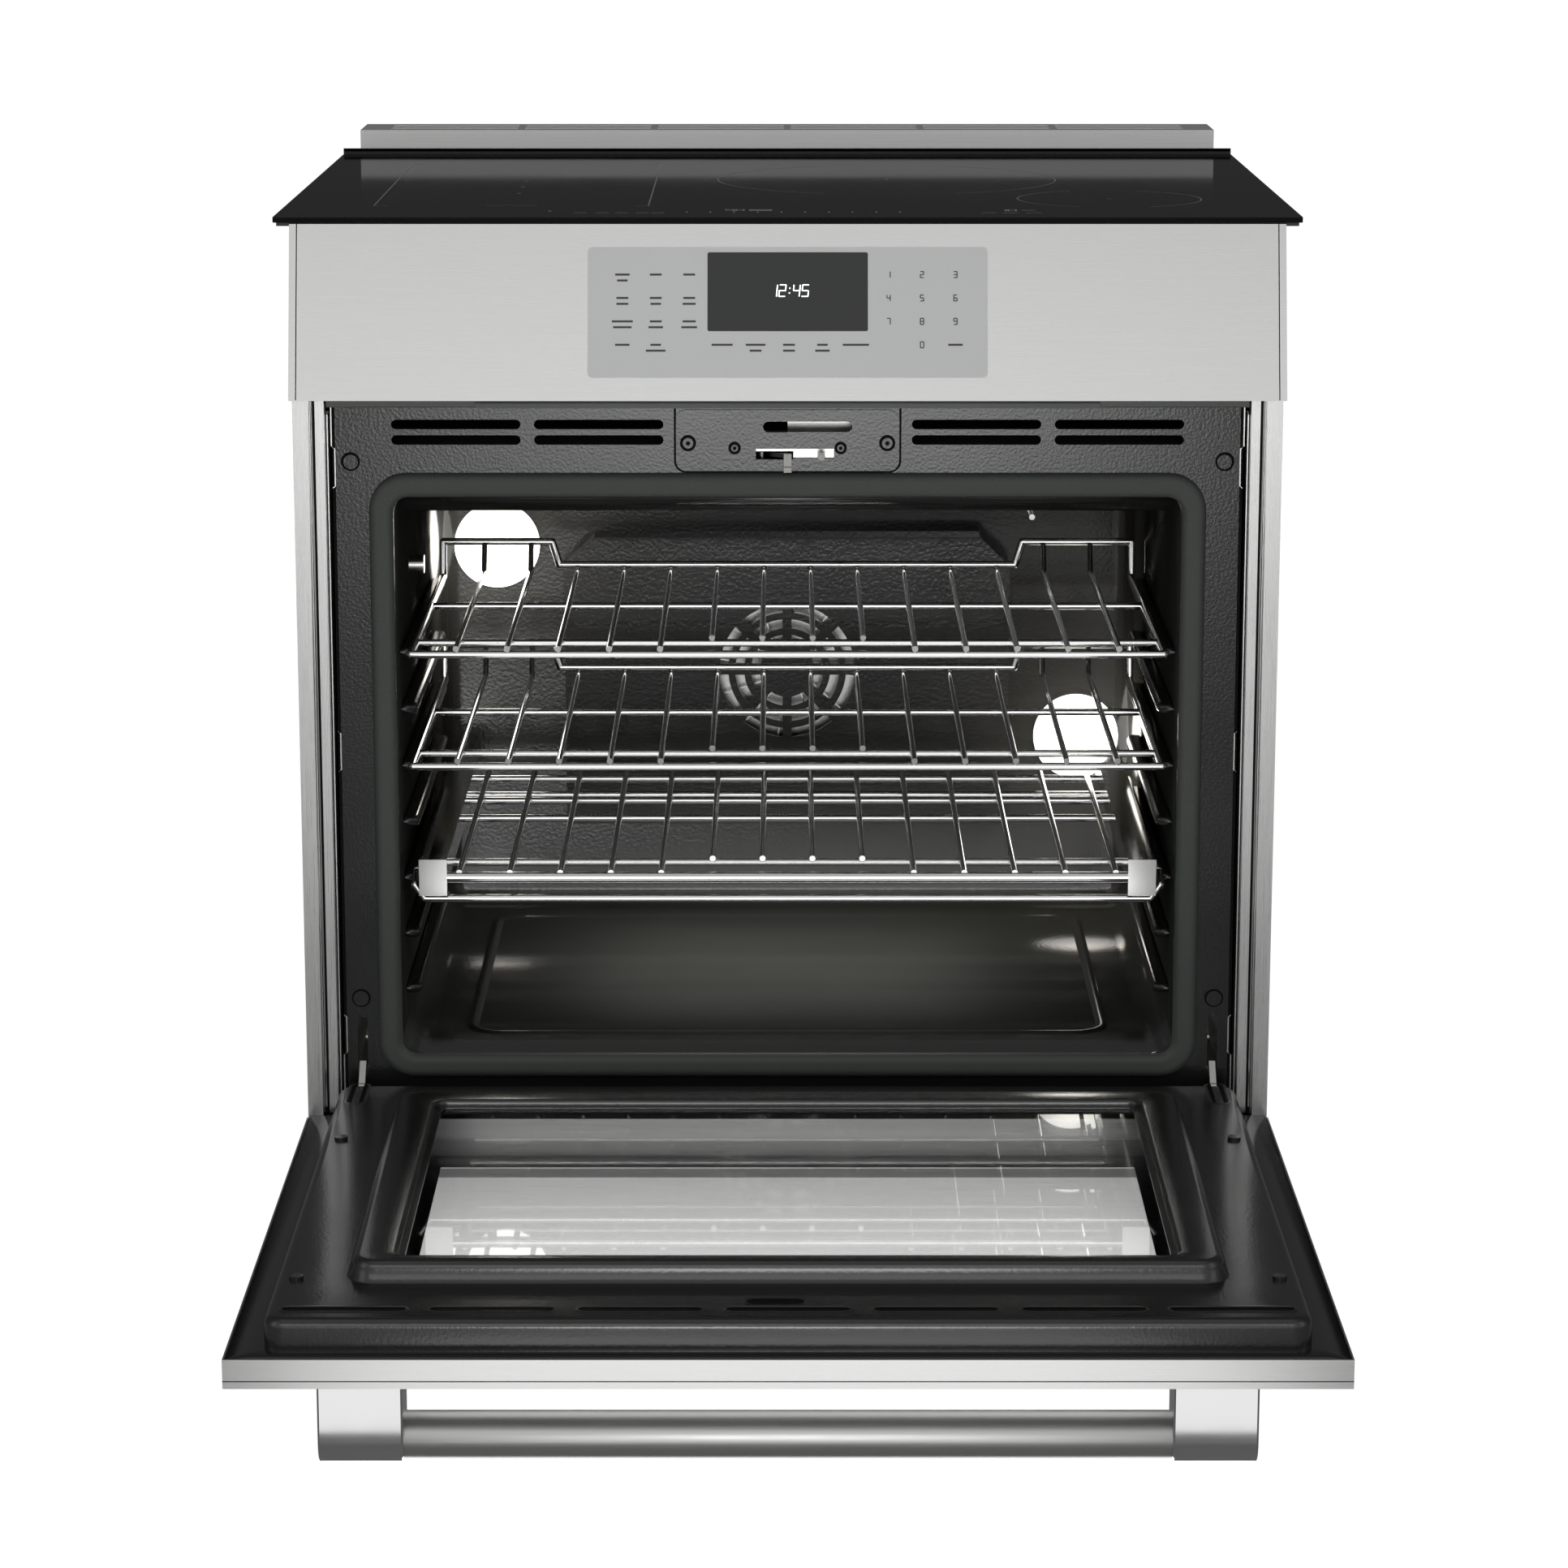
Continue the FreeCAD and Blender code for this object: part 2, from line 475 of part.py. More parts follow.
def baffle_outline(inset, y):
    """The fan cover's outline, with its two upper corners cut off."""
    h, c = BAFFLE_HALF_WIDTH - inset, BAFFLE_CHAMFER
    z0, z1 = BAFFLE_BOTTOM + inset, BAFFLE_BOTTOM + BAFFLE_HEIGHT - inset
    points = [(-h, z0), (h, z0), (h, z1 - c), (h - c, z1), (-h + c, z1), (-h, z1 - c)]
    corners = [Vector(x, y, z) for x, z in points]
    return Part.Face(Part.makePolygon([*corners, corners[0]]))


def fan_baffle():
    y0, y1 = CAVITY_REAR - BAFFLE_DEPTH, CAVITY_REAR
    outer = baffle_outline(0, y0).extrude(Vector(0, y1 - y0, 0))
    inner = baffle_outline(PORCELAIN, y0 + PORCELAIN).extrude(Vector(0, y1 - y0, 0))
    side_vents = both_sides(box(BAFFLE_HALF_WIDTH - 5, BAFFLE_HALF_WIDTH + 5, y0 + 10, y1 - 8, BAFFLE_BOTTOM + 40, FAN_Z + 60))
    return outer.cut([inner, *side_vents, *grille_cuts(y0 - 1, y0 + 3)])


def convection_fan():
    y0 = CAVITY_REAR - FAN_DEPTH - 6
    hub = disc(0, y0 - 2, y0 + FAN_DEPTH, FAN_Z, 12)
    back = disc(0, y0 + FAN_DEPTH - 1.2, y0 + FAN_DEPTH, FAN_Z, FAN_R)
    blades = []
    for i in range(FAN_BLADES):
        blade = box(22, FAN_R, y0, y0 + FAN_DEPTH, FAN_Z - 0.6, FAN_Z + 0.6)
        blade.rotate(Vector(22, 0, FAN_Z), Y_AXIS, 12)
        blade.rotate(Vector(0, 0, FAN_Z), Y_AXIS, i * 360 / FAN_BLADES)
        blades.append(blade)
    bore = disc(0, y0 - 1, y0 + FAN_DEPTH + 1, FAN_Z, FAN_SHAFT_R + SHAFT_CLEARANCE)
    return fuse([hub, back, *blades]).cut(bore)


def convection_motor():
    y = CAVITY_REAR + PORCELAIN
    shaft = disc(0, CAVITY_REAR - FAN_DEPTH - 4, y + 10, FAN_Z, FAN_SHAFT_R)
    body = disc(0, y + 8, y + 58, FAN_Z, 38)
    flange = disc(0, y + 1, y + 8, FAN_Z, 44).cut(disc(0, y, y + 9, FAN_Z, 10))
    return fuse([shaft, body, flange])


def convection_element():
    y = CAVITY_REAR - 16
    ring = Part.makeTorus(96, ELEMENT_R, Vector(0, y, FAN_Z), Y_AXIS)
    ring2 = Part.makeTorus(108, ELEMENT_R, Vector(0, y, FAN_Z), Y_AXIS)
    bridge = box(92, 112, y - 2, y + 2, FAN_Z - 8, FAN_Z + 8)
    return fuse([ring, ring2, bridge])


def serpentine(z, x_half, y0, y1, legs_to):
    """Heating element that runs back and forth, with two legs to a wall."""
    pitch = 2 * x_half / (ELEMENT_RUNS - 1)
    points = [(-x_half, legs_to, z)]
    for i in range(ELEMENT_RUNS):
        x = -x_half + i * pitch
        ends = (y1, y0) if i % 2 == 0 else (y0, y1)
        if i:
            points.append((x, ends[0], z))
        points.append((x, ends[1], z))
    points[-1] = (x_half, y1, z)
    points.append((x_half, legs_to, z))
    return bent_rod(points, ELEMENT_R)


def broil_element():
    return serpentine(CEILING - 12, MOUTH_HALF - 70, 90, CAVITY_REAR - 50, CAVITY_REAR - 0.5)


def bake_element():
    return serpentine(MOUTH_BOTTOM - 7, MOUTH_HALF - 60, 80, CAVITY_REAR - 60, CAVITY_REAR - 30)


def lamp_lenses():
    """Two glass domes on the rear wall."""
    sphere_r = (LAMP_R**2 + LAMP_DOME**2) / (2 * LAMP_DOME)
    lenses = []
    for x, z in LAMPS:
        ball = Part.makeSphere(sphere_r, Vector(x, CAVITY_REAR - 4 - LAMP_DOME + sphere_r, z))
        cap = ball.common(disc(x, CAVITY_REAR - 60, CAVITY_REAR - 4, z, LAMP_R))
        lenses.append(fuse([cap, disc(x, CAVITY_REAR - 4, CAVITY_REAR, z, LAMP_R)]))
    return Part.makeCompound(lenses)


def lamp_sockets():
    return Part.makeCompound([disc(x, CAVITY_REAR + 0.2, CAVITY_REAR + 42, z, SOCKET_R) for x, z in LAMPS])


def temperature_sensor():
    x, z = BAFFLE_HALF_WIDTH + SENSOR_FROM_BAFFLE, CEILING - SENSOR_BELOW_CEILING
    probe = disc(x, CAVITY_REAR - 90, CAVITY_REAR - 2, z, 2.5)
    return fuse([probe, box(x - 14, x + 14, CAVITY_REAR - 2, CAVITY_REAR, z - 6, z + 6)])


def probe_z():
    """Height of the meat-probe socket, above the top rack's rails."""
    return guide_z(UPPER_LEVEL) + 50


def probe_jack():
    z = probe_z()
    nut = rod((-MOUTH_HALF, PROBE_Y, z), (-MOUTH_HALF + PROBE_REACH, PROBE_Y, z), PROBE_R)
    stem = rod((-MOUTH_HALF - 14, PROBE_Y, z), (-MOUTH_HALF + 2, PROBE_Y, z), 5)
    bore = rod((-MOUTH_HALF - 10, PROBE_Y, z), (-MOUTH_HALF + PROBE_REACH + 1, PROBE_Y, z), 3)
    return fuse([nut, stem]).cut(bore)


# ================================================================ latch and door switch
def latch_plate():
    y0, y1 = FRAME_Y - LATCH_PROUD, FRAME_Y
    top = FRAME_TOP - LATCH_BELOW_FRAME_TOP
    body = plate(LATCH_HALF_WIDTH, top - LATCH_HEIGHT, top, y0, y1, 8)
    vent = slot(15.5, FRAME_TOP - 18.2, 69, 8.4, y0 - 1, y1 + 1)
    opening = box(-24.6, 36, y0 - 1, y1 + 1, HOOK_Z - 1.5, HOOK_Z + 6.8)
    screws = []
    for x, z, r in ((77, 30.7, 5), (41, 34.5, 4)):
        screws += both_sides(disc(x, y0 - 1.4, y0, FRAME_TOP - z, r))
    return Part.makeCompound([body.cut([vent, opening]), *screws])


def latch_hook():
    """Hook that turns about an upright pin and reaches into the door's slot."""
    z0, z1 = HOOK_Z, HOOK_Z + HOOK_THICKNESS
    tip_x, tip_y = 0.0, FRAME_Y - LATCH_PROUD - 1.0
    eye = Part.makeCylinder(7, HOOK_THICKNESS, Vector(HOOK_PIVOT_X, HOOK_PIVOT_Y, z0))
    arm = plan_profile([
        (HOOK_PIVOT_X - 3, HOOK_PIVOT_Y - 4), (tip_x - 3, tip_y), (tip_x - 3, tip_y - 1.8),
        (tip_x + 3, tip_y - 1.8), (tip_x + 3, tip_y + 2), (HOOK_PIVOT_X + 4, HOOK_PIVOT_Y + 3),
    ], z0, z1)
    drop = box(tip_x - 3, tip_x + 3, tip_y - 1.8, tip_y, z0 - HOOK_DROP, z1)
    beak = box(tip_x - 3, tip_x + 3, tip_y - 4.6, tip_y - 1.8, z0 - HOOK_DROP, z0 - HOOK_DROP + 4)
    bore = Part.makeCylinder(HOOK_PIN_R + SHAFT_CLEARANCE, 10, Vector(HOOK_PIVOT_X, HOOK_PIVOT_Y, z0 - 2))
    return fuse([eye, arm, drop, beak]).cut(bore)


def latch_motor():
    z = HOOK_Z + 8
    bracket = box(-45, 60, LINER_FRONT + 3, 110, z, z + 1.5)
    motor = box(0, 50, 60, 110, z + 1.5, z + 20)
    pin = Part.makeCylinder(HOOK_PIN_R, 14, Vector(HOOK_PIVOT_X, HOOK_PIVOT_Y, z - 13.5))
    switch = box(SWITCH_X - 9, SWITCH_X + 9, LINER_FRONT + 14, LINER_FRONT + 26, z - 12, z)
    tunnel = disc(SWITCH_X, LINER_FRONT, LINER_FRONT + 40, HOOK_Z + 2.2, SWITCH_R + 0.1)
    return fuse([bracket, motor, pin, switch]).cut(tunnel)


def door_switch_plunger():
    tip = FRAME_Y - SWITCH_REACH
    return fuse([
        disc(SWITCH_X, tip + 1, LINER_FRONT + 18, HOOK_Z + 2.2, SWITCH_R),
        disc(SWITCH_X, tip, tip + 1, HOOK_Z + 2.2, SWITCH_R - 0.8),
    ])


# ================================================================ hinges
def hinge_arms():
    """Fixed arms that come out of the frame and carry the door's pins, with their receivers."""
    length = math.hypot(FRAME_Y - PIVOT_Y, ARM_RISE)
    uy, uz = (FRAME_Y - PIVOT_Y) / length, ARM_RISE / length
    x0, x1 = HINGE_X - ARM_THICKNESS / 2, HINGE_X + ARM_THICKNESS / 2
    h = ARM_HALF_HEIGHT
    reach = length + 4
    outline = [
        (PIVOT_Y - uz * h, PIVOT_Z + uy * h), (PIVOT_Y + uz * h, PIVOT_Z - uy * h),
        (PIVOT_Y + uy * reach + uz * h, PIVOT_Z + uz * reach - uy * h),
        (FRAME_Y + 60, ARM_ENTRY_Z - h), (FRAME_Y + 60, ARM_ENTRY_Z + h + 8),
        (PIVOT_Y + uy * reach - uz * h, PIVOT_Z + uz * reach + uy * h),
    ]
    arm = side_profile(outline, x0, x1)
    eye = rod((x0, PIVOT_Y, PIVOT_Z), (x1, PIVOT_Y, PIVOT_Z), ARM_EYE_R)
    bore = rod((x0 - 1, PIVOT_Y, PIVOT_Z), (x1 + 1, PIVOT_Y, PIVOT_Z), PIN_R + SHAFT_CLEARANCE)
    y0, y1 = LINER_FRONT + GAP, LINER_FRONT + 120
    z0, z1 = ARM_ENTRY_Z - 14, ARM_ENTRY_Z + 54
    hollow = box(HINGE_X - 7, HINGE_X + 7, y0 - 1, y1 - 2, z0 + 2, z1 - 2)
    receiver = box(HINGE_X - 8.5, HINGE_X + 8.5, y0, y1, z0, z1).cut(hollow)
    seat = box(x0, x1, FRAME_Y + 50, y1 - 1, ARM_ENTRY_Z - h, ARM_ENTRY_Z + h + 8)
    return Part.makeCompound(both_sides(fuse([arm, eye, seat, receiver]).cut(bore)))


def door_hinges():
    """U-channels inside the door, each with the pin that turns in an arm's eye."""
    half = CHANNEL_WIDTH / 2
    z0 = DOOR_BOTTOM + SKIN_SHEET + GAP
    y0, y1 = SKIN_Y + SKIN_SHEET + 2, PANEL_Y - PORCELAIN - 1.5
    outer = box(HINGE_X - half, HINGE_X + half, y0, y1, z0, z0 + CHANNEL_HEIGHT)
    inner = box(HINGE_X - half + 1.5, HINGE_X + half - 1.5, y0 + 1.5, y1 + 1, z0 - 1, z0 + CHANNEL_HEIGHT + 1)
    pin = rod((HINGE_X - half, PIVOT_Y, PIVOT_Z), (HINGE_X + half, PIVOT_Y, PIVOT_Z), PIN_R)
    return Part.makeCompound(both_sides(fuse([outer.cut(inner), pin])))


# ================================================================ cooling air and electronics
def air_outlet_trim():
    z = FRAME_TOP + GAP
    deflector = side_profile([(2, z), (FRAME_Y + 20, z), (FRAME_Y + 20, z + 1.2), (2, z + 5), (0.5, z + 5), (0.5, z + 1)],
                             -FRAME_HALF, FRAME_HALF)
    nose_half = FRAME_HALF - TRIM_SIDE_MARGIN
    nose = box(-nose_half, nose_half, -3, 0.5, z, z + 4)
    return fuse([deflector, nose])




def blower_z():
    """Height of the cooling blower's axis, midway between the frame's top and the cooktop tray."""
    return (FRAME_TOP + TRAY_BOTTOM) / 2 - 4


def blower_housing():
    z, t = blower_z(), SHEET
    h, w = BLOWER_R + 6, BLOWER_HALF + 12
    outer = box(-w, w, BLOWER_Y - 60, BLOWER_Y + 50, z - h, z + h)
    inner = box(-w + t, w - t, BLOWER_Y - 60 + t, BLOWER_Y + 50 - t, z - h + t, z + h - t)
    outlet = box(-w + 10, w - 10, BLOWER_Y - 62, BLOWER_Y - 50, z - h + 4, z - 2)
    inlets = rod((-w - 1, BLOWER_Y, z), (w + 1, BLOWER_Y, z), BLOWER_R - 8)
    axle = rod((-w - 22, BLOWER_Y, z), (w - 0.5, BLOWER_Y, z), 3)
    motor = rod((-w - 34, BLOWER_Y, z), (-w - 6, BLOWER_Y, z), 24)
    foot = box(-w - 6, -w, BLOWER_Y - 24, BLOWER_Y - 14, z - h, z + 10)
    spider = box(w - t, w, BLOWER_Y - 26, BLOWER_Y + 26, z - 4, z + 4)
    return fuse([outer.cut([inner, outlet, inlets]), axle, motor, foot, spider])


def blower_wheel():
    z = blower_z()
    ends = [rod((x, BLOWER_Y, z), (x + 2, BLOWER_Y, z), BLOWER_R) for x in (-BLOWER_HALF, -1, BLOWER_HALF - 2)]
    hub = rod((-BLOWER_HALF, BLOWER_Y, z), (BLOWER_HALF, BLOWER_Y, z), 6)
    blades = []
    for i in range(16):
        blade = box(-BLOWER_HALF, BLOWER_HALF, BLOWER_Y - 0.5, BLOWER_Y + 0.5, z + BLOWER_R - 9, z + BLOWER_R - 1)
        blade.rotate(Vector(0, BLOWER_Y, z), X_AXIS, i * 22.5)
        blades.append(blade)
    bore = rod((-BLOWER_HALF - 1, BLOWER_Y, z), (BLOWER_HALF + 1, BLOWER_Y, z), 3 + SHAFT_CLEARANCE)
    return fuse([hub, *ends, *blades]).cut(bore)


def circuit_boards():
    """Display board behind the fascia and two power boards with heat sinks under the coils."""
    display = lean(box(-TOUCH_WIDTH / 2 + 10, TOUCH_WIDTH / 2 - 10, FASCIA_TOP_Y + 16, FASCIA_TOP_Y + 20,
                       GLASS_BOTTOM - TOUCH_FROM_TOP - TOUCH_HEIGHT + 5, GLASS_BOTTOM - TOUCH_FROM_TOP - 5))
    z = TRAY_BOTTOM + SHEET + 4
    boards = []
    for x in (BOARD_SIDE_MARGIN - HALF, HALF - BOARD_SIDE_MARGIN):
        board = box(x - 110, x + 110, 330, 560, z, z + 2)
        sink = box(x - 90, x + 90, 400, 440, z + 2, z + 26)
        fins = [box(x - 80 + 12 * i, x - 72 + 12 * i, 399, 441, z + 8, z + 27) for i in range(14)]
        boards.append(fuse([board, sink.cut(fins)]))
    return Part.makeCompound([display, *boards])


def terminal_block():
    y1 = BODY_DEPTH - SHEET - GAP
    block = box(POWER_INLET_X - 35, POWER_INLET_X + 35, y1 - 30, y1, POWER_INLET_Z + 45, POWER_INLET_Z + 75)
    studs = [disc(POWER_INLET_X + dx, y1 - 42, y1 - 30, POWER_INLET_Z + 60, 4) for dx in (-22, 0, 22)]
    return fuse([block, *studs])


# ================================================================ fascia
def fascia_panel():
    """Sloping stainless front with returned edges and a cut-out for the touch panel."""
    t = FASCIA_SHEET
    front = side_profile([
        (FASCIA_TOP_Y, GLASS_BOTTOM), (FASCIA_BOTTOM_Y, FASCIA_BOTTOM), (0, FASCIA_BOTTOM), (0, FASCIA_BOTTOM + t),
        (FASCIA_BOTTOM_Y + t * 1.3, FASCIA_BOTTOM + t), (FASCIA_TOP_Y + t * 1.04, GLASS_BOTTOM - t),
        (GLASS_FRONT + 3, GLASS_BOTTOM - t), (GLASS_FRONT + 3, GLASS_BOTTOM),
    ], -HALF, HALF)
    ends = both_sides(side_profile([
        (FASCIA_TOP_Y, GLASS_BOTTOM), (FASCIA_BOTTOM_Y, FASCIA_BOTTOM), (0, FASCIA_BOTTOM), (GLASS_FRONT - 8, GLASS_BOTTOM - 40),
        (GLASS_FRONT - 8, GLASS_BOTTOM)], HALF - t, HALF))
    cut = lean(box(-TOUCH_WIDTH / 2 + 3, TOUCH_WIDTH / 2 - 3, FASCIA_TOP_Y - 5, FASCIA_TOP_Y + 6,
                   GLASS_BOTTOM - TOUCH_FROM_TOP - TOUCH_HEIGHT + 3, GLASS_BOTTOM - TOUCH_FROM_TOP - 3))
    return fuse([front, *ends]).cut(cut)


def on_slope(half_width, from_top, height, proud, thickness, corner):
    """Plate lying on the fascia's slope; its face stands proud of the steel."""
    z1 = GLASS_BOTTOM - from_top
    return lean(plate(half_width, z1 - height, z1, FASCIA_TOP_Y - proud, FASCIA_TOP_Y - proud + thickness, corner))


def touch_panel():
    panel = on_slope(TOUCH_WIDTH / 2, TOUCH_FROM_TOP, TOUCH_HEIGHT, 0.8, 0.8, 4)
    hole = on_slope(DISPLAY_WIDTH / 2, DISPLAY_FROM_TOP, DISPLAY_HEIGHT, 2, 6, 1.5)
    return panel.cut(hole)


def display_window():
    return on_slope(DISPLAY_WIDTH / 2 - 0.1, DISPLAY_FROM_TOP + 0.1, DISPLAY_HEIGHT - 0.2, 0.9, TOUCH_THICKNESS, 1.4)


# ================================================================ cooktop
def cooktop_glass():
    half = HALF + GLASS_OVERHANG
    glass = box(-half, half, GLASS_FRONT, GLASS_BACK, GLASS_BOTTOM, COOKTOP_HEIGHT)
    upright = [e for e in glass.Edges if e.BoundBox.ZLength > GLASS_THICKNESS - 1e-6 and e.BoundBox.XLength < 1e-6]
    return glass.makeFillet(3, upright)


def cooktop_tray():
    """Pan under the glass; a pad along each side rests on the worktop."""
    half = HALF - SHEET - 2
    y0, y1 = GLASS_FRONT + 5, GLASS_BACK - 4
    pan = box(-half, half, y0, y1, TRAY_BOTTOM, GLASS_BOTTOM)
    hollow = box(-half + SHEET, half - SHEET, y0 + SHEET, y1 - SHEET, TRAY_BOTTOM + SHEET, GLASS_BOTTOM + 1)
    flanges = both_sides(box(half, HALF + PAD_GAP, y0, y1, GLASS_BOTTOM - PAD_SHEET, GLASS_BOTTOM))
    pad_out = HALF + GLASS_OVERHANG - PAD_SETBACK
    pads = both_sides(box(HALF + PAD_GAP, pad_out, y0, y1, GLASS_BOTTOM - PAD_THICKNESS, GLASS_BOTTOM))
    return fuse([pan.cut(hollow), *flanges, *pads])


def cooktop_rear_rail():
    half = HALF + GLASS_OVERHANG
    return box(-half, half, GLASS_BACK, GLASS_BACK + REAR_RAIL_THICKNESS, GLASS_BOTTOM, COOKTOP_HEIGHT + REAR_RAIL_RISE)


def coil_places():
    """Centre and radius of each induction coil, placed from the glass's front edge and the body's sides."""
    return [
        (HALF - 297.0, GLASS_FRONT + 332, COIL_LARGE_R),
        (HALF - 123.5, GLASS_FRONT + 155, COIL_SMALL_R),
        (-HALF + 163.0, GLASS_FRONT + 192, COIL_LEFT_R),
        (-HALF + 163.0, GLASS_FRONT + 386, COIL_LEFT_R),
    ]


def induction_coils():
    coils = []
    for x, y, r in coil_places():
        z = GLASS_BOTTOM - 2 - COIL_THICKNESS
        coil = Part.makeCylinder(r, COIL_THICKNESS, Vector(x, y, z))
        coils.append(coil.cut(Part.makeCylinder(18, COIL_THICKNESS + 2, Vector(x, y, z - 1))))
    return Part.makeCompound(coils)


def backguard():
    half = HALF - 1
    y0, y1 = BODY_DEPTH - BACKGUARD_DEPTH, BODY_DEPTH
    z0, z1 = COOKTOP_HEIGHT + BACKGUARD_RISE - BACKGUARD_SKIRT, COOKTOP_HEIGHT + BACKGUARD_RISE
    t = SHEET
    shell = box(-half, half, y0, y1, z0, z1).cut(box(-half + t, half - t, y0 + t, y1 - t, z0 - 1, z1 - t))
    bay = (2 * half - 46) / BACKGUARD_BAYS
    slots = []
    for i in range(BACKGUARD_BAYS):
        x0 = -half + 23 + i * bay + 3
        for j in range(BACKGUARD_SLOTS_PER_BAY):
            y = y0 + 14 + j * 17
            slots.append(box(x0, x0 + bay - 6, y, y + 9, z1 - t - 1, z1 + 1))
    clear_sides = both_sides(box(half - 1, half + 2, y0 - 1, y1 + 1, z0 - 1, GLASS_BOTTOM))
    return shell.cut([*slots, *clear_sides])


# ================================================================ racks
def wire_places(half_span):
    """Evenly pitched wires, symmetrical about the middle."""
    count = int((half_span - WIRE_PITCH / 2) // WIRE_PITCH) + 1
    return sorted(side * WIRE_PITCH * (i + 0.5) for i in range(count) for side in (-1, 1))


def wire_start(x):
    """Front end of a wire: the four middle ones are shorter."""
    short = abs(x) < WIRE_PITCH * SHORT_WIRES / 2
    return RACK_FRONT_Y - 4 + (SHORT_WIRE_SETBACK if short else 0)


def flat_rack(level):
    """Chrome rack: wires welded on a looped frame, with a raised stop at the rear corners."""
    z = guide_z(level)
    top = z + RAIL_R + WIRE_R - WELD_SINK
    stop = z + REAR_RISE
    side = RACK_HALF - RAIL_R
    jog = min(BAFFLE_HALF_WIDTH, side - 2 * WIRE_PITCH - 5)
    rise_y = RACK_REAR_Y - 4
    loop = [
        (-side, RACK_FRONT_Y, z), (side, RACK_FRONT_Y, z), (side, rise_y, z), (side, RACK_REAR_Y, stop),
        (jog + 6, RACK_REAR_Y, stop), (jog, RACK_REAR_Y, top + 5), (-jog, RACK_REAR_Y, top + 5),
        (-jog - 6, RACK_REAR_Y, stop), (-side, RACK_REAR_Y, stop), (-side, rise_y, z),
    ]
    cross = [RACK_FRONT_Y + SHORT_WIRE_SETBACK, RACK_REAR_Y - 145]
    frame = [bent_rod(loop, RAIL_R, closed=True), *[rod((-side, y, z), (side, y, z), CROSS_R) for y in cross]]
    wires = []
    for x in wire_places(side - 8):
        if abs(x) < jog:
            wires.append(rod((x, wire_start(x), top), (x, RACK_REAR_Y + 2, top), WIRE_R))
        else:
            bend = [(x, wire_start(x), top), (x, rise_y - 8, top), (x, RACK_REAR_Y - 1, stop - 1)]
            wires.append(bent_rod(bend, WIRE_R))
    return fuse([*frame, *wires])


def plate_sides():
    """Inner and outer X of the telescoping rack's side plates."""
    outer = MOUTH_HALF - PLATE_SIDE_MARGIN
    return outer - PLATE_WIDTH, outer


def glide_rack():
    """Sliding top of the telescoping rack."""
    z = guide_z(GLIDE_LEVEL)
    top = z + RAIL_R + WIRE_R - WELD_SINK
    x0, x1 = plate_sides()
    plate_z = z + PLATE_RISE
    y0, y1 = RACK_FRONT_Y - 4, RACK_REAR_Y + 23
    t = 1.2
    skirt = z - 1.5
    channel = fuse([
        box(x0, x1, y0, y1, plate_z, plate_z + t),
        box(x0, x0 + t, y0, y1, skirt, plate_z + t),
        box(x1 - t, x1, y0, y1, skirt, plate_z + t),
        box(x0, x1, y0 - 4, y0, z - 13, plate_z + t),
    ])
    cross = [RACK_FRONT_Y + SHORT_WIRE_SETBACK + 3, RACK_REAR_Y - 148, RACK_REAR_Y - 81, RACK_REAR_Y + 6]
    rails = [rod((-x0, y, z), (x0, y, z), RAIL_R) for y in cross]
    bar = rod((-x0, RACK_FRONT_Y - 4, z + 1), (x0, RACK_FRONT_Y - 4, z + 1), FRONT_BAR_R)
    wires = [rod((x, wire_start(x) - 1.5, top), (x, RACK_REAR_Y + 8, top), WIRE_R) for x in wire_places(x0 - 6)]
    return fuse([*both_sides(channel), *rails, bar, *wires])


def glide_frame():
    """Fixed loop and channels that the telescoping rack runs on."""
    z = guide_z(GLIDE_LEVEL)
    low = z - 17
    side = RACK_HALF - RAIL_R
    x0, x1 = plate_sides()
    y0, y1 = RACK_FRONT_Y, RACK_REAR_Y + 18
    loops = [
        bent_rod([(-side, y0 + 20, z), (-side, y0, z - 6), (-side + 8, y0, low), (side - 8, y0, low), (side, y0, z - 6),
                  (side, y0 + 20, z)], RAIL_R - 0.1),
        rod((-side, y1, low), (side, y1, low), RAIL_R - 0.1),
    ]
    loops += [bent_rod([(s * side, y0 + 20, z), (s * side, y1 - 16, z), (s * side, y1, low)], RAIL_R - 0.1) for s in (-1, 1)]
    middle = (x0 + x1) / 2
    half = RUNNER_WIDTH / 2 + 3
    base = low + RAIL_R - 0.6
    channel = box(middle - half, middle + half, y0 - 2, y1 - 4, base, base + 10).cut(
        box(middle - half + 1.5, middle + half - 1.5, y0 - 3, y1 - 3, base + 1.5, base + 11))
    return fuse([*loops, *both_sides(channel)])


def glide_runners():
    """Middle members of the telescoping slides; they travel half as far as the rack."""
    z = guide_z(GLIDE_LEVEL)
    x0, x1 = plate_sides()
    middle, half = (x0 + x1) / 2, RUNNER_WIDTH / 2
    base = z - 17 + RAIL_R - 0.6 + 1.5 + GAP
    return Part.makeCompound(both_sides(
        box(middle - half, middle + half, RACK_FRONT_Y + 2, RACK_REAR_Y + 8, base, z + PLATE_RISE - GAP)))


# ================================================================ oven door, drawn closed
def outer_window(y0, y1, shrink=0.0):
    """Block the size of the window in the door's skin."""
    return box(-WINDOW_HALF + 2.5 + shrink, WINDOW_HALF - 2.5 - shrink, y0, y1, WINDOW_BOTTOM - 8 + shrink, WINDOW_TOP - shrink)


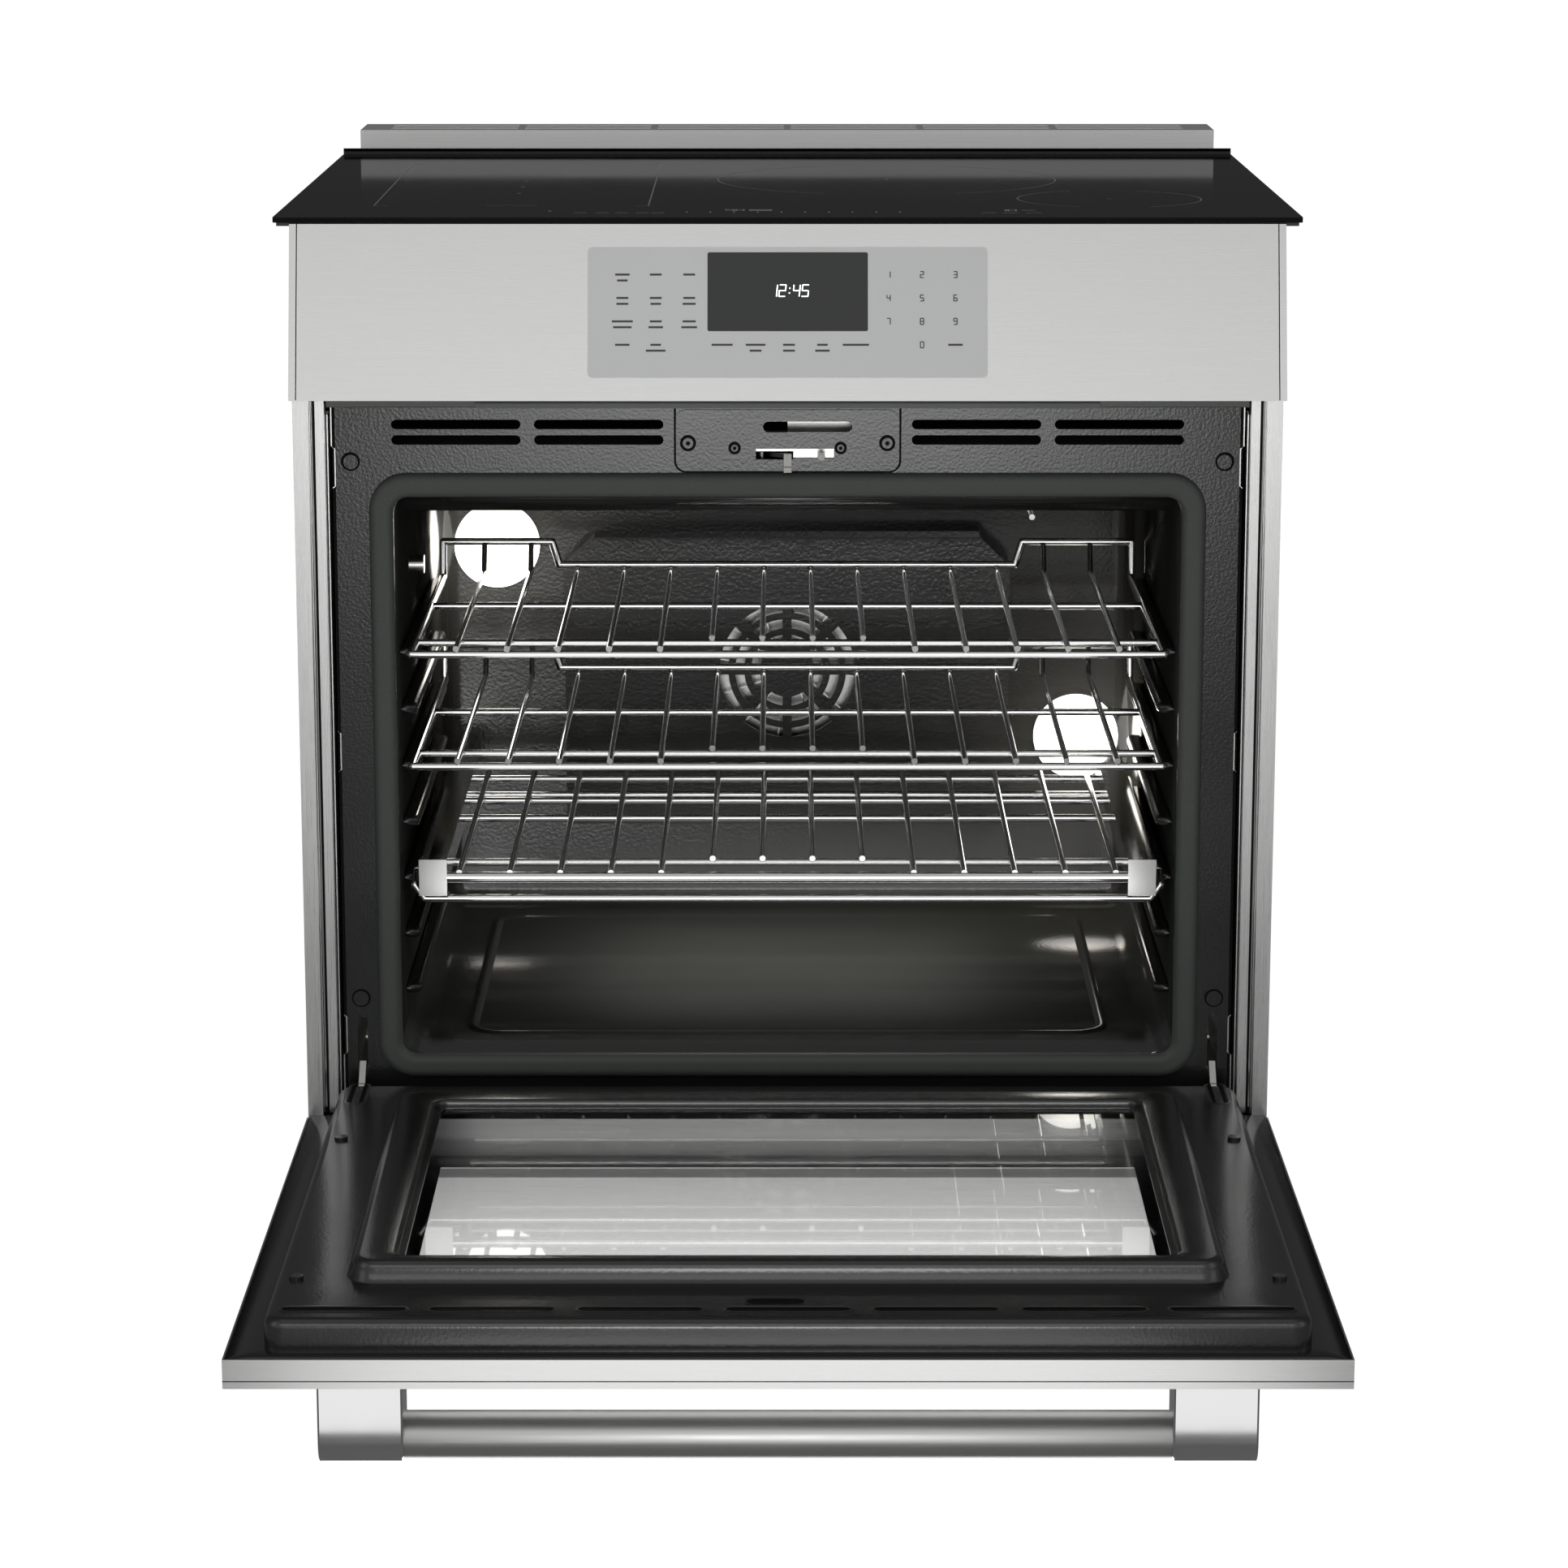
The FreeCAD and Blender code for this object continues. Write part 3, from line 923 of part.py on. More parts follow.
def door_skin():
    t = SKIN_SHEET
    outer = box(-HALF, HALF, SKIN_Y, SKIN_EDGE_Y, DOOR_BOTTOM, DOOR_TOP)
    inner = box(-HALF + t, HALF - t, SKIN_Y + t, SKIN_EDGE_Y + 1, DOOR_BOTTOM + t, DOOR_TOP - t)
    heel = side_profile([(PIVOT_Y + 3, DOOR_BOTTOM - 1), (PIVOT_Y + 3, DOOR_BOTTOM), (SKIN_EDGE_Y + 0.1, DOOR_BOTTOM + 8.5),
                         (SKIN_EDGE_Y + 2, DOOR_BOTTOM + 8.5), (SKIN_EDGE_Y + 2, DOOR_BOTTOM - 1)], -HALF - 1, HALF + 1)
    notches = both_sides(box(HINGE_X - NOTCH_WIDTH / 2, HINGE_X + NOTCH_WIDTH / 2, SKIN_Y + 4, 0, DOOR_BOTTOM - 1, DOOR_BOTTOM + 3))
    return outer.cut([inner, heel, *notches, outer_window(SKIN_Y - 1, SKIN_Y + t + 1)])


def pane(half, z0, z1, y0):
    return box(-half, half, y0, y0 + PANE, z0, z1)


def door_glass_outer():
    return pane(WINDOW_HALF + 22, WINDOW_BOTTOM - 26, WINDOW_TOP + 18, SKIN_Y + SKIN_SHEET)


def door_glass_middle():
    return pane(WINDOW_HALF + 14, WINDOW_BOTTOM - 14, WINDOW_TOP + 14, -4)


def window_ledge_y():
    """Front of the lip that the inner pane lies behind."""
    return PANEL_Y + PLUG_DEPTH - WINDOW_STEP


def door_glass_inner():
    return pane(WINDOW_HALF + 4, WINDOW_BOTTOM - 4, WINDOW_TOP + 4, window_ledge_y() - PORCELAIN - PANE)


def door_inner_panel():
    """Enamelled pan with a raised plug, window, cooling slots and hinge notches."""
    t = PORCELAIN
    low, high = DOOR_BOTTOM - PANEL_BELOW_SKIN, DOOR_TOP - PANEL_BELOW_TOP
    back = SKIN_EDGE_Y - 0.8
    pan = box(-PANEL_HALF, PANEL_HALF, back, PANEL_Y, low, high).cut(
        box(-PANEL_HALF + t, PANEL_HALF - t, back - 1, PANEL_Y - t, low + t, high - t))
    flanges = both_sides(box(PANEL_HALF - t, HALF - SKIN_SHEET - GAP, back - t, back, PIVOT_Z, high))
    top_flange = box(-HALF + SKIN_SHEET + GAP, HALF - SKIN_SHEET - GAP, back - t, back, high - t, DOOR_TOP - SKIN_SHEET - GAP)
    y1 = PANEL_Y + PLUG_DEPTH
    plug = plate(PLUG_HALF, PLUG_BOTTOM, PLUG_TOP, PANEL_Y - t, y1, 14).cut(
        plate(PLUG_HALF - t, PLUG_BOTTOM + t, PLUG_TOP - t, PANEL_Y - t - 1, y1 - t, 13))
    step = window_ledge_y()
    collar = plate(WINDOW_HALF + t, WINDOW_BOTTOM - t, WINDOW_TOP + t, step - t, y1, 9)
    well = plate(WINDOW_HALF, WINDOW_BOTTOM, WINDOW_TOP, step, y1 + 1, 8)
    view = plate(WINDOW_HALF - WINDOW_LIP, WINDOW_BOTTOM + WINDOW_LIP, WINDOW_TOP - WINDOW_LIP, step - 9, y1 + 1, 6)
    behind_plug = plate(PLUG_HALF - t, PLUG_BOTTOM + t, PLUG_TOP - t, PANEL_Y - t - 1, PANEL_Y, 13)
    vents = [slot((i - (DOOR_VENTS - 1) / 2) * DOOR_VENT_PITCH, DOOR_TOP - DOOR_VENT_BELOW_TOP, DOOR_VENT_LENGTH,
                  DOOR_VENT_HEIGHT, PANEL_Y - 3, PANEL_Y + 1) for i in range(DOOR_VENTS)]
    vents = [v for v in vents if v.BoundBox.XMax < PANEL_HALF - 4 and v.BoundBox.XMin > -PANEL_HALF + 4]
    latch = box(-28, 11, PANEL_Y - 3, PANEL_Y + 1, HOOK_Z - 22, HOOK_Z - 3)
    notch_top = ARM_ENTRY_Z + 3
    notches = both_sides(box(HINGE_X - NOTCH_WIDTH / 2, HINGE_X + NOTCH_WIDTH / 2, back - 2, PANEL_Y + 1, low - 1, notch_top))
    screw_holes = [disc(x, PANEL_Y - 3, PANEL_Y + 1, z, 2.3) for x, z in door_screw_places()]
    pan = fuse([pan, *flanges, top_flange]).cut(behind_plug)
    body = fuse([pan, plug.cut(view), collar.cut([well, view])]).cut([well, view])
    return body.cut([*vents, latch, *notches, *screw_holes])


def door_screw_places():
    """Four screws that hold the inner panel."""
    x = PANEL_HALF - 14.3
    return [(s * x, z) for s in (-1, 1) for z in (PIVOT_Z + 134.5, DOOR_TOP - 104.0)]


def door_screws():
    heads = []
    for x, z in door_screw_places():
        heads.append(fuse([disc(x, PANEL_Y, PANEL_Y + 2.2, z, 5), disc(x, PANEL_Y - 12, PANEL_Y, z, 2)]))
    return Part.makeCompound(heads)


def handle_brackets():
    block = box(BRACKET_INNER, BRACKET_OUTER, HANDLE_Y, SKIN_Y, HANDLE_Z - BRACKET_R, HANDLE_Z + BRACKET_R)
    nose = rod((BRACKET_INNER, HANDLE_Y, HANDLE_Z), (BRACKET_OUTER, HANDLE_Y, HANDLE_Z), BRACKET_R)
    return Part.makeCompound(both_sides(fuse([block, nose])))


def handle_bar():
    return rod((-BRACKET_INNER, HANDLE_Y, HANDLE_Z), (BRACKET_INNER, HANDLE_Y, HANDLE_Z), HANDLE_R)


# ================================================================ warming drawer
def drawer_front():
    y0, y1, t = DRAWER_FACE_Y, SKIN_EDGE_Y, SKIN_SHEET

    def outline(inset, back):
        low, high, bevel = DRAWER_BOTTOM + inset, DRAWER_TOP - inset, DRAWER_BEVEL - inset * 0.4
        return [(y0 + inset, low), (y0 + inset, high - bevel), (y0 + inset + bevel, high), (back, high), (back, low)]

    outer = side_profile(outline(0, y1), -HALF, HALF)
    return outer.cut(side_profile(outline(t, y1 + 1), -HALF + t, HALF - t))


def drawer_box():
    """Open-topped drawer with its front plate and the moving halves of its slides."""
    t = SHEET
    z0, z1 = DRAWER_BOTTOM + 10, DRAWER_TOP - 14
    tub = box(-DRAWER_HALF, DRAWER_HALF, SKIN_EDGE_Y, DRAWER_REAR, z0, z1).cut(
        box(-DRAWER_HALF + t, DRAWER_HALF - t, SKIN_EDGE_Y + t, DRAWER_REAR - t, z0 + t, z1 + 1))
    runners = both_sides(box(DRAWER_HALF, DRAWER_HALF + 6, 45, DRAWER_REAR, SLIDE_Z - SLIDE_HEIGHT / 2, SLIDE_Z + SLIDE_HEIGHT / 2))
    plate_z = (DRAWER_BOTTOM + SKIN_SHEET + GAP, DRAWER_TOP - SKIN_SHEET - GAP)
    front = box(-DRAWER_HALF - 8, DRAWER_HALF + 8, SKIN_EDGE_Y - 2, SKIN_EDGE_Y, *plate_z)
    return fuse([tub, *runners, front])


def drawer_slides():
    """Fixed halves of the drawer's slides, with brackets to the side panels."""
    x0 = DRAWER_HALF + 6 + GAP
    wall = HALF - SHEET
    h = SLIDE_HEIGHT / 2 + 3
    rail = box(x0, x0 + 2, 45, DRAWER_REAR, SLIDE_Z - h, SLIDE_Z + h)
    lips = [box(x0 - 3, x0 + 2, 45, DRAWER_REAR, SLIDE_Z + s * (h - 1) - 1, SLIDE_Z + s * (h - 1) + 1) for s in (-1, 1)]
    brackets = [box(x0, wall, y, y + 2, SLIDE_Z - h, SLIDE_Z + h) for y in (80, DRAWER_REAR - 30)]
    return Part.makeCompound(both_sides(fuse([rail, *lips, *brackets])))


def frame_screws():
    """Buttons and screws on the oven frame."""
    buttons = both_sides(disc(HINGE_X, FRAME_Y - 2.4, FRAME_Y, FRAME_TOP - 45.4, 5.6))
    screws = both_sides(disc(HINGE_X + 0.5, FRAME_Y - 1.6, FRAME_Y, FRAME_BOTTOM + 90, 6))
    return Part.makeCompound([*buttons, *screws])


# ================================================================ the whole range
FIXED = {
    "base_frame": base_frame,
    "leveling_legs": leveling_legs,
    "side_panel_left": lambda: side_panel(-1),
    "side_panel_right": lambda: side_panel(1),
    "back_panel": back_panel,
    "kick_plate": kick_plate,
    "front_post_left": lambda: front_post(-1),
    "front_post_right": lambda: front_post(1),
    "oven_front_frame": oven_front_frame,
    "oven_liner": oven_liner,
    "door_gasket": door_gasket,
    "insulation_jacket": insulation_jacket,
    "rack_guide_left": lambda: rack_guide(-1),
    "rack_guide_right": lambda: rack_guide(1),
    "fan_baffle": fan_baffle,
    "convection_fan": convection_fan,
    "convection_motor": convection_motor,
    "convection_element": convection_element,
    "broil_element": broil_element,
    "bake_element": bake_element,
    "lamp_lenses": lamp_lenses,
    "lamp_sockets": lamp_sockets,
    "temperature_sensor": temperature_sensor,
    "probe_jack": probe_jack,
    "latch_plate": latch_plate,
    "latch_hook": latch_hook,
    "latch_motor": latch_motor,
    "door_switch_plunger": door_switch_plunger,
    "hinge_arms": hinge_arms,
    "air_outlet_trim": air_outlet_trim,
    "blower_housing": blower_housing,
    "blower_wheel": blower_wheel,
    "fascia_panel": fascia_panel,
    "touch_panel": touch_panel,
    "display_window": display_window,
    "circuit_boards": circuit_boards,
    "terminal_block": terminal_block,
    "cooktop_glass": cooktop_glass,
    "cooktop_tray": cooktop_tray,
    "cooktop_rear_rail": cooktop_rear_rail,
    "induction_coils": induction_coils,
    "backguard": backguard,
    "upper_rack": lambda: flat_rack(UPPER_LEVEL),
    "middle_rack": lambda: flat_rack(MIDDLE_LEVEL),
    "glide_rack": glide_rack,
    "glide_frame": glide_frame,
    "glide_runners": glide_runners,
    "drawer_front": drawer_front,
    "drawer_box": drawer_box,
    "drawer_slides": drawer_slides,
    "frame_screws": frame_screws,
}
DOOR = {
    "door_skin": door_skin,
    "door_glass_outer": door_glass_outer,
    "door_glass_middle": door_glass_middle,
    "door_glass_inner": door_glass_inner,
    "door_inner_panel": door_inner_panel,
    "door_hinges": door_hinges,
    "door_screws": door_screws,
    "handle_bar": handle_bar,
    "handle_brackets": handle_brackets,
}


def export(node, shape):
    """Move a piece to the range's origin and write it."""
    placed = shape.copy()
    placed.translate(Vector(0, -ORIGIN_Y, 0))
    if not placed.isValid():
        raise ValueError(f"{node} is not a valid solid")
    placed.exportStep(f"parts/{node}.step")


os.makedirs("parts", exist_ok=True)
for node_name, build in FIXED.items():
    export(node_name, build())
for node_name, build in DOOR.items():
    export(node_name, swing_open(build()))
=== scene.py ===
"""Looks of a slide-in induction range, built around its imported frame.

Metres throughout, in the frame's own axes: X to the right, -Y towards the person at the oven, Z up.
"""

from __future__ import annotations

import logging
import math
from dataclasses import dataclass
from enum import Enum
from typing import Callable, Iterable, Sequence

import bmesh
import bpy
import numpy as np
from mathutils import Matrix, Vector

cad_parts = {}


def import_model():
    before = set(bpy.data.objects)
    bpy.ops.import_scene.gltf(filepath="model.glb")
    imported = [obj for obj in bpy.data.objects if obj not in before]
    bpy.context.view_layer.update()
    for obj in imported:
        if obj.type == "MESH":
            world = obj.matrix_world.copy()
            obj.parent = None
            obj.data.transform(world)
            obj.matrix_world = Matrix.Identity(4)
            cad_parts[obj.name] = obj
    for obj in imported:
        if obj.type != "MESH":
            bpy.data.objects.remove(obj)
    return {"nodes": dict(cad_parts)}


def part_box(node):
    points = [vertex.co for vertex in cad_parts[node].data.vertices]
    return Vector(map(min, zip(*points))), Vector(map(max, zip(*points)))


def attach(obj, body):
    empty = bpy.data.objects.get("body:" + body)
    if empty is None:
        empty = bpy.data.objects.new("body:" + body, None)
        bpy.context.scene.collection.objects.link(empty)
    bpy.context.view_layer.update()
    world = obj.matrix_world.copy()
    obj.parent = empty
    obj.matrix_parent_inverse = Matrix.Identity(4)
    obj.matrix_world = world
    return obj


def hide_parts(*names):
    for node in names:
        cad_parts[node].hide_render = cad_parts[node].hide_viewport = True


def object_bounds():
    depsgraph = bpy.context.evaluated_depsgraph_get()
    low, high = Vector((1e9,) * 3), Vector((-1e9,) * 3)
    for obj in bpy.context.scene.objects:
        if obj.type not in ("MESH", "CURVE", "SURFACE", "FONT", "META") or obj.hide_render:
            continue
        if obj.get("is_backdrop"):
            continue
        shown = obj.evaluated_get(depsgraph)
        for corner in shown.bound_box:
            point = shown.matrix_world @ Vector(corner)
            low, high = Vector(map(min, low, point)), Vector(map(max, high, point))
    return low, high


LOG = logging.getLogger("range")
LENS_RADIUS = 0.0377
Array = np.ndarray
Colour = tuple[float, float, float]


# ------------------------------------------------------------------ mesh making
class Facing(Enum):
    """Which way a flat drawing's third axis points."""

    FRONT = "front"
    UP = "up"


def placed(u: Array, v: Array, w: Array, facing: Facing) -> Array:
    """Points from drawing coordinates.

    Args:
        u: distances to the right.
        v: distances up the drawing, which are Z facing front and Y facing up.
        w: distances along the third axis, which are Y facing front and Z facing up.
        facing: how the drawing stands.

    Returns:
        An array whose last axis is X, Y, Z.
    """
    return np.stack([u, w, v] if facing is Facing.FRONT else [u, v, w], axis=-1)


def mesh_piece(name: str, points: Array, faces: Sequence[Sequence[int]] | Array,
               smooth: float = 35.0) -> bpy.types.Object:
    """A mesh object at the origin.

    Args:
        name: the object's name.
        points: an (n, 3) array.
        faces: corner numbers of each face.
        smooth: edges sharper than this many degrees stay crisp.

    Returns:
        The new object, with its faces pointing outwards.
    """
    mesh = bpy.data.meshes.new(name)
    mesh.from_pydata(np.asarray(points, float).reshape(-1, 3).tolist(), [], [list(map(int, f)) for f in faces])
    mesh.update()
    work = bmesh.new()
    work.from_mesh(mesh)
    bmesh.ops.remove_doubles(work, verts=work.verts, dist=1e-6)
    bmesh.ops.recalc_face_normals(work, faces=work.faces)
    work.to_mesh(mesh)
    work.free()
    mesh.shade_smooth()
    mesh.set_sharp_from_angle(angle=math.radians(smooth))
    piece = bpy.data.objects.new(name, mesh)
    bpy.context.scene.collection.objects.link(piece)
    return piece


def grid_faces(rows: int, columns: int, close_columns: bool = False) -> Array:
    """Quads of a grid of points, row by row; closing joins the last column to the first.

    Args:
        rows: Number of rows of points.
        columns: Number of points in a row.
        close_columns: Whether each row is a closed loop.

    Returns:
        Four point numbers for each quad.
    """
    r = np.arange(rows - 1)
    c = np.arange(columns if close_columns else columns - 1)
    rr, cc = np.meshgrid(r, c, indexing="ij")
    r1, c1 = rr + 1, (cc + 1) % columns
    return np.stack([rr * columns + cc, rr * columns + c1, r1 * columns + c1, r1 * columns + cc], -1).reshape(-1, 4)


@dataclass(frozen=True)
class RoundRect:
    """A rectangle with round corners, at a depth."""

    centre_u: float
    centre_v: float
    half_u: float
    half_v: float
    radius: float
    depth: float

    def points(self, facing: Facing, corner_steps: int = 8) -> Array:
        """The outline's points: each corner is a quarter circle about its own centre.

        Args:
            facing: Plane that the outline lies in.
            corner_steps: Points along each rounded corner.

        Returns:
            The outline, one point per row.
        """
        turn = np.linspace(0, math.pi / 2, corner_steps)
        angle = np.concatenate([turn + k * math.pi / 2 for k in range(4)])
        sign_u = np.repeat([1, -1, -1, 1], corner_steps)
        sign_v = np.repeat([1, 1, -1, -1], corner_steps)
        u = self.centre_u + sign_u * (self.half_u - self.radius) + self.radius * np.cos(angle)
        v = self.centre_v + sign_v * (self.half_v - self.radius) + self.radius * np.sin(angle)
        return placed(u, v, np.full_like(u, self.depth), facing)


def loft(name: str, loops: Sequence[RoundRect], facing: Facing, cap_first: bool = False,
         cap_last: bool = False) -> bpy.types.Object:
    """A skin through a stack of outlines, each joined point by point to the next.

    Args:
        name: Name of the new piece.
        loops: Closed outlines of equal length, first to last.
        facing: Plane that the outlines lie in.
        cap_first: Whether the first outline is filled.
        cap_last: Whether the last outline is filled.

    Returns:
        The lofted piece.
    """
    rings = np.stack([loop.points(facing) for loop in loops])
    count, size = rings.shape[:2]
    faces = grid_faces(count, size, close_columns=True).tolist()
    if cap_first:
        faces.append(list(range(size)))
    if cap_last:
        faces.append(list(range((count - 1) * size, count * size)))
    return mesh_piece(name, rings.reshape(-1, 3), faces)


def revolve(name: str, profile: Sequence[tuple[float, float]], centre: Vector, axis: str,
            sides: int = 40) -> bpy.types.Object:
    """A turned shape.

    Args:
        name: the object's name.
        profile: pairs of radius and distance along the axis.
        centre: where distance zero lies on the axis.
        axis: "X", "Y" or "Z".
        sides: steps around.

    Returns:
        The turned piece; radii of zero make closed poles.
    """
    radius, height = np.array(profile, float).T
    angle = np.linspace(0, 2 * math.pi, sides, endpoint=False)
    a = radius[:, None] * np.cos(angle)
    b = radius[:, None] * np.sin(angle)
    h = np.broadcast_to(height[:, None], a.shape)
    order = {"X": [h, a, b], "Y": [a, h, b], "Z": [a, b, h]}[axis]
    points = np.stack(order, -1) + np.array(centre)
    return mesh_piece(name, points.reshape(-1, 3), grid_faces(len(radius), sides, close_columns=True), smooth=40)


def merged(name: str, pieces: Iterable[bpy.types.Object]) -> bpy.types.Object:
    """One object from several, without joining their surfaces.

    Args:
        name: Name of the joined piece.
        pieces: Pieces to join; they are used up.

    Returns:
        The joined piece.
    """
    work = bmesh.new()
    for piece in list(pieces):
        work.from_mesh(piece.data)
        bpy.data.objects.remove(piece)
    mesh = bpy.data.meshes.new(name)
    work.to_mesh(mesh)
    work.free()
    joined = bpy.data.objects.new(name, mesh)
    bpy.context.scene.collection.objects.link(joined)
    return joined


# ------------------------------------------------------------------ shader groups
class GroupName(Enum):
    """Shader groups shared by several finishes."""

    BRUSHED = "brushed grain"
    PEBBLED = "pebbled enamel"
    BRAIDED = "braided yarn"
    HANDLED = "handling marks"


def new_group(name: GroupName, inputs: dict[str, float], outputs: dict[str, str]) -> bpy.types.ShaderNodeTree:
    """An empty group whose numbers and sockets are made with interface.new_socket.

    Args:
        name: Name of the group.
        inputs: Sockets that the group takes in.
        outputs: Sockets that the group gives out.

    Returns:
        The empty group with its sockets.
    """
    tree = bpy.data.node_groups.new(name.value, "ShaderNodeTree")
    for label, value in inputs.items():
        socket = tree.interface.new_socket(name=label, in_out="INPUT", socket_type="NodeSocketFloat")
        socket.default_value = value
    for label, kind in outputs.items():
        tree.interface.new_socket(name=label, in_out="OUTPUT", socket_type=kind)
    return tree


class GroupMaker:
    """Builds each shader group once."""

    def __init__(self) -> None:
        """Builds all the groups."""
        self.trees = {
            GroupName.BRUSHED: self._brushed(),
            GroupName.PEBBLED: self._pebbled(),
            GroupName.BRAIDED: self._braided(),
            GroupName.HANDLED: self._handled(),
        }

    @staticmethod
    def _ends(tree: bpy.types.ShaderNodeTree) -> tuple[bpy.types.Node, bpy.types.Node, bpy.types.Node]:
        """The group's input, output and object coordinates."""
        return (tree.nodes.new("NodeGroupInput"), tree.nodes.new("NodeGroupOutput"),
                tree.nodes.new("ShaderNodeTexCoord"))

    def _brushed(self) -> bpy.types.ShaderNodeTree:
        """Fine scratches: noise squeezed across the grain and drawn out along it.

        Returns:
            The group.
        """
        tree = new_group(GroupName.BRUSHED, {"Across X": 400, "Across Y": 400, "Across Z": 400, "Depth": 0.1,
                                             "Tone low": 0.5, "Tone high": 0.6, "Rough low": 0.25, "Rough high": 0.4},
                         {"Tone": "NodeSocketFloat", "Roughness": "NodeSocketFloat", "Normal": "NodeSocketVector"})
        inputs, outputs, place = self._ends(tree)
        nodes, links = tree.nodes, tree.links
        stretch = nodes.new("ShaderNodeCombineXYZ")
        for axis in "XYZ":
            links.new(inputs.outputs[f"Across {axis}"], stretch.inputs[axis])
        scaled = nodes.new("ShaderNodeVectorMath")
        scaled.operation = "MULTIPLY"
        links.new(place.outputs["Object"], scaled.inputs[0])
        links.new(stretch.outputs[0], scaled.inputs[1])
        noise = nodes.new("ShaderNodeTexNoise")
        noise.inputs["Scale"].default_value = 1.0
        noise.inputs["Detail"].default_value = 3.0
        noise.inputs["Roughness"].default_value = 0.65
        links.new(scaled.outputs[0], noise.inputs["Vector"])
        for low, high, target in (("Tone low", "Tone high", "Tone"), ("Rough low", "Rough high", "Roughness")):
            spread = nodes.new("ShaderNodeMapRange")
            spread.inputs["From Min"].default_value = 0.3
            spread.inputs["From Max"].default_value = 0.7
            links.new(noise.outputs["Fac"], spread.inputs["Value"])
            links.new(inputs.outputs[low], spread.inputs["To Min"])
            links.new(inputs.outputs[high], spread.inputs["To Max"])
            links.new(spread.outputs["Result"], outputs.inputs[target])
        bump = nodes.new("ShaderNodeBump")
        bump.inputs["Distance"].default_value = 0.0002
        links.new(inputs.outputs["Depth"], bump.inputs["Strength"])
        links.new(noise.outputs["Fac"], bump.inputs["Height"])
        links.new(bump.outputs["Normal"], outputs.inputs["Normal"])
        return tree

    def _pebbled(self) -> bpy.types.ShaderNodeTree:
        """Orange peel of fired enamel: soft bumps a few millimetres across and a little mottling.

        Returns:
            The group.
        """
        tree = new_group(GroupName.PEBBLED, {"Scale": 350, "Depth": 0.2, "Rough low": 0.2, "Rough high": 0.34},
                         {"Mottle": "NodeSocketFloat", "Roughness": "NodeSocketFloat", "Normal": "NodeSocketVector"})
        inputs, outputs, place = self._ends(tree)
        nodes, links = tree.nodes, tree.links
        peel = nodes.new("ShaderNodeTexNoise")
        peel.inputs["Detail"].default_value = 1.5
        links.new(place.outputs["Object"], peel.inputs["Vector"])
        links.new(inputs.outputs["Scale"], peel.inputs["Scale"])
        cloud = nodes.new("ShaderNodeTexNoise")
        cloud.inputs["Scale"].default_value = 9.0
        cloud.inputs["Detail"].default_value = 3.0
        links.new(place.outputs["Object"], cloud.inputs["Vector"])
        spread = nodes.new("ShaderNodeMapRange")
        links.new(cloud.outputs["Fac"], spread.inputs["Value"])
        links.new(inputs.outputs["Rough low"], spread.inputs["To Min"])
        links.new(inputs.outputs["Rough high"], spread.inputs["To Max"])
        links.new(spread.outputs["Result"], outputs.inputs["Roughness"])
        links.new(cloud.outputs["Fac"], outputs.inputs["Mottle"])
        bump = nodes.new("ShaderNodeBump")
        bump.inputs["Distance"].default_value = 0.0006
        links.new(inputs.outputs["Depth"], bump.inputs["Strength"])
        links.new(peel.outputs["Fac"], bump.inputs["Height"])
        links.new(bump.outputs["Normal"], outputs.inputs["Normal"])
        return tree

    def _braided(self) -> bpy.types.ShaderNodeTree:
        """Glass-fibre braid: two crossed sets of slanting waves.

        Returns:
            The group.
        """
        tree = new_group(GroupName.BRAIDED, {"Scale": 260, "Depth": 0.5},
                         {"Shade": "NodeSocketFloat", "Normal": "NodeSocketVector"})
        inputs, outputs, place = self._ends(tree)
        nodes, links = tree.nodes, tree.links
        waves = []
        for slant in (0.8, -0.8):
            turn = nodes.new("ShaderNodeMapping")
            turn.inputs["Rotation"].default_value = (0.0, slant, slant)
            links.new(place.outputs["Object"], turn.inputs["Vector"])
            wave = nodes.new("ShaderNodeTexWave")
            links.new(turn.outputs["Vector"], wave.inputs["Vector"])
            links.new(inputs.outputs["Scale"], wave.inputs["Scale"])
            waves.append(wave)
        weave = nodes.new("ShaderNodeMath")
        weave.operation = "MAXIMUM"
        links.new(waves[0].outputs["Fac"], weave.inputs[0])
        links.new(waves[1].outputs["Fac"], weave.inputs[1])
        links.new(weave.outputs[0], outputs.inputs["Shade"])
        bump = nodes.new("ShaderNodeBump")
        bump.inputs["Distance"].default_value = 0.0004
        links.new(inputs.outputs["Depth"], bump.inputs["Strength"])
        links.new(weave.outputs[0], bump.inputs["Height"])
        links.new(bump.outputs["Normal"], outputs.inputs["Normal"])
        return tree

    def _handled(self) -> bpy.types.ShaderNodeTree:
        """Faint wiping marks: a slow cloudy change of gloss.

        Returns:
            The group.
        """
        tree = new_group(GroupName.HANDLED, {"Scale": 6, "Low": 0.05, "High": 0.1}, {"Roughness": "NodeSocketFloat"})
        inputs, outputs, place = self._ends(tree)
        nodes, links = tree.nodes, tree.links
        cloud = nodes.new("ShaderNodeTexNoise")
        cloud.inputs["Detail"].default_value = 4.0
        links.new(place.outputs["Object"], cloud.inputs["Vector"])
        links.new(inputs.outputs["Scale"], cloud.inputs["Scale"])
        spread = nodes.new("ShaderNodeMapRange")
        links.new(cloud.outputs["Fac"], spread.inputs["Value"])
        links.new(inputs.outputs["Low"], spread.inputs["To Min"])
        links.new(inputs.outputs["High"], spread.inputs["To Max"])
        links.new(spread.outputs["Result"], outputs.inputs["Roughness"])
        return tree


# ------------------------------------------------------------------ finishes
class Grain(Enum):
    """The axis that brushing runs along."""

    X = 0
    Y = 1
    Z = 2


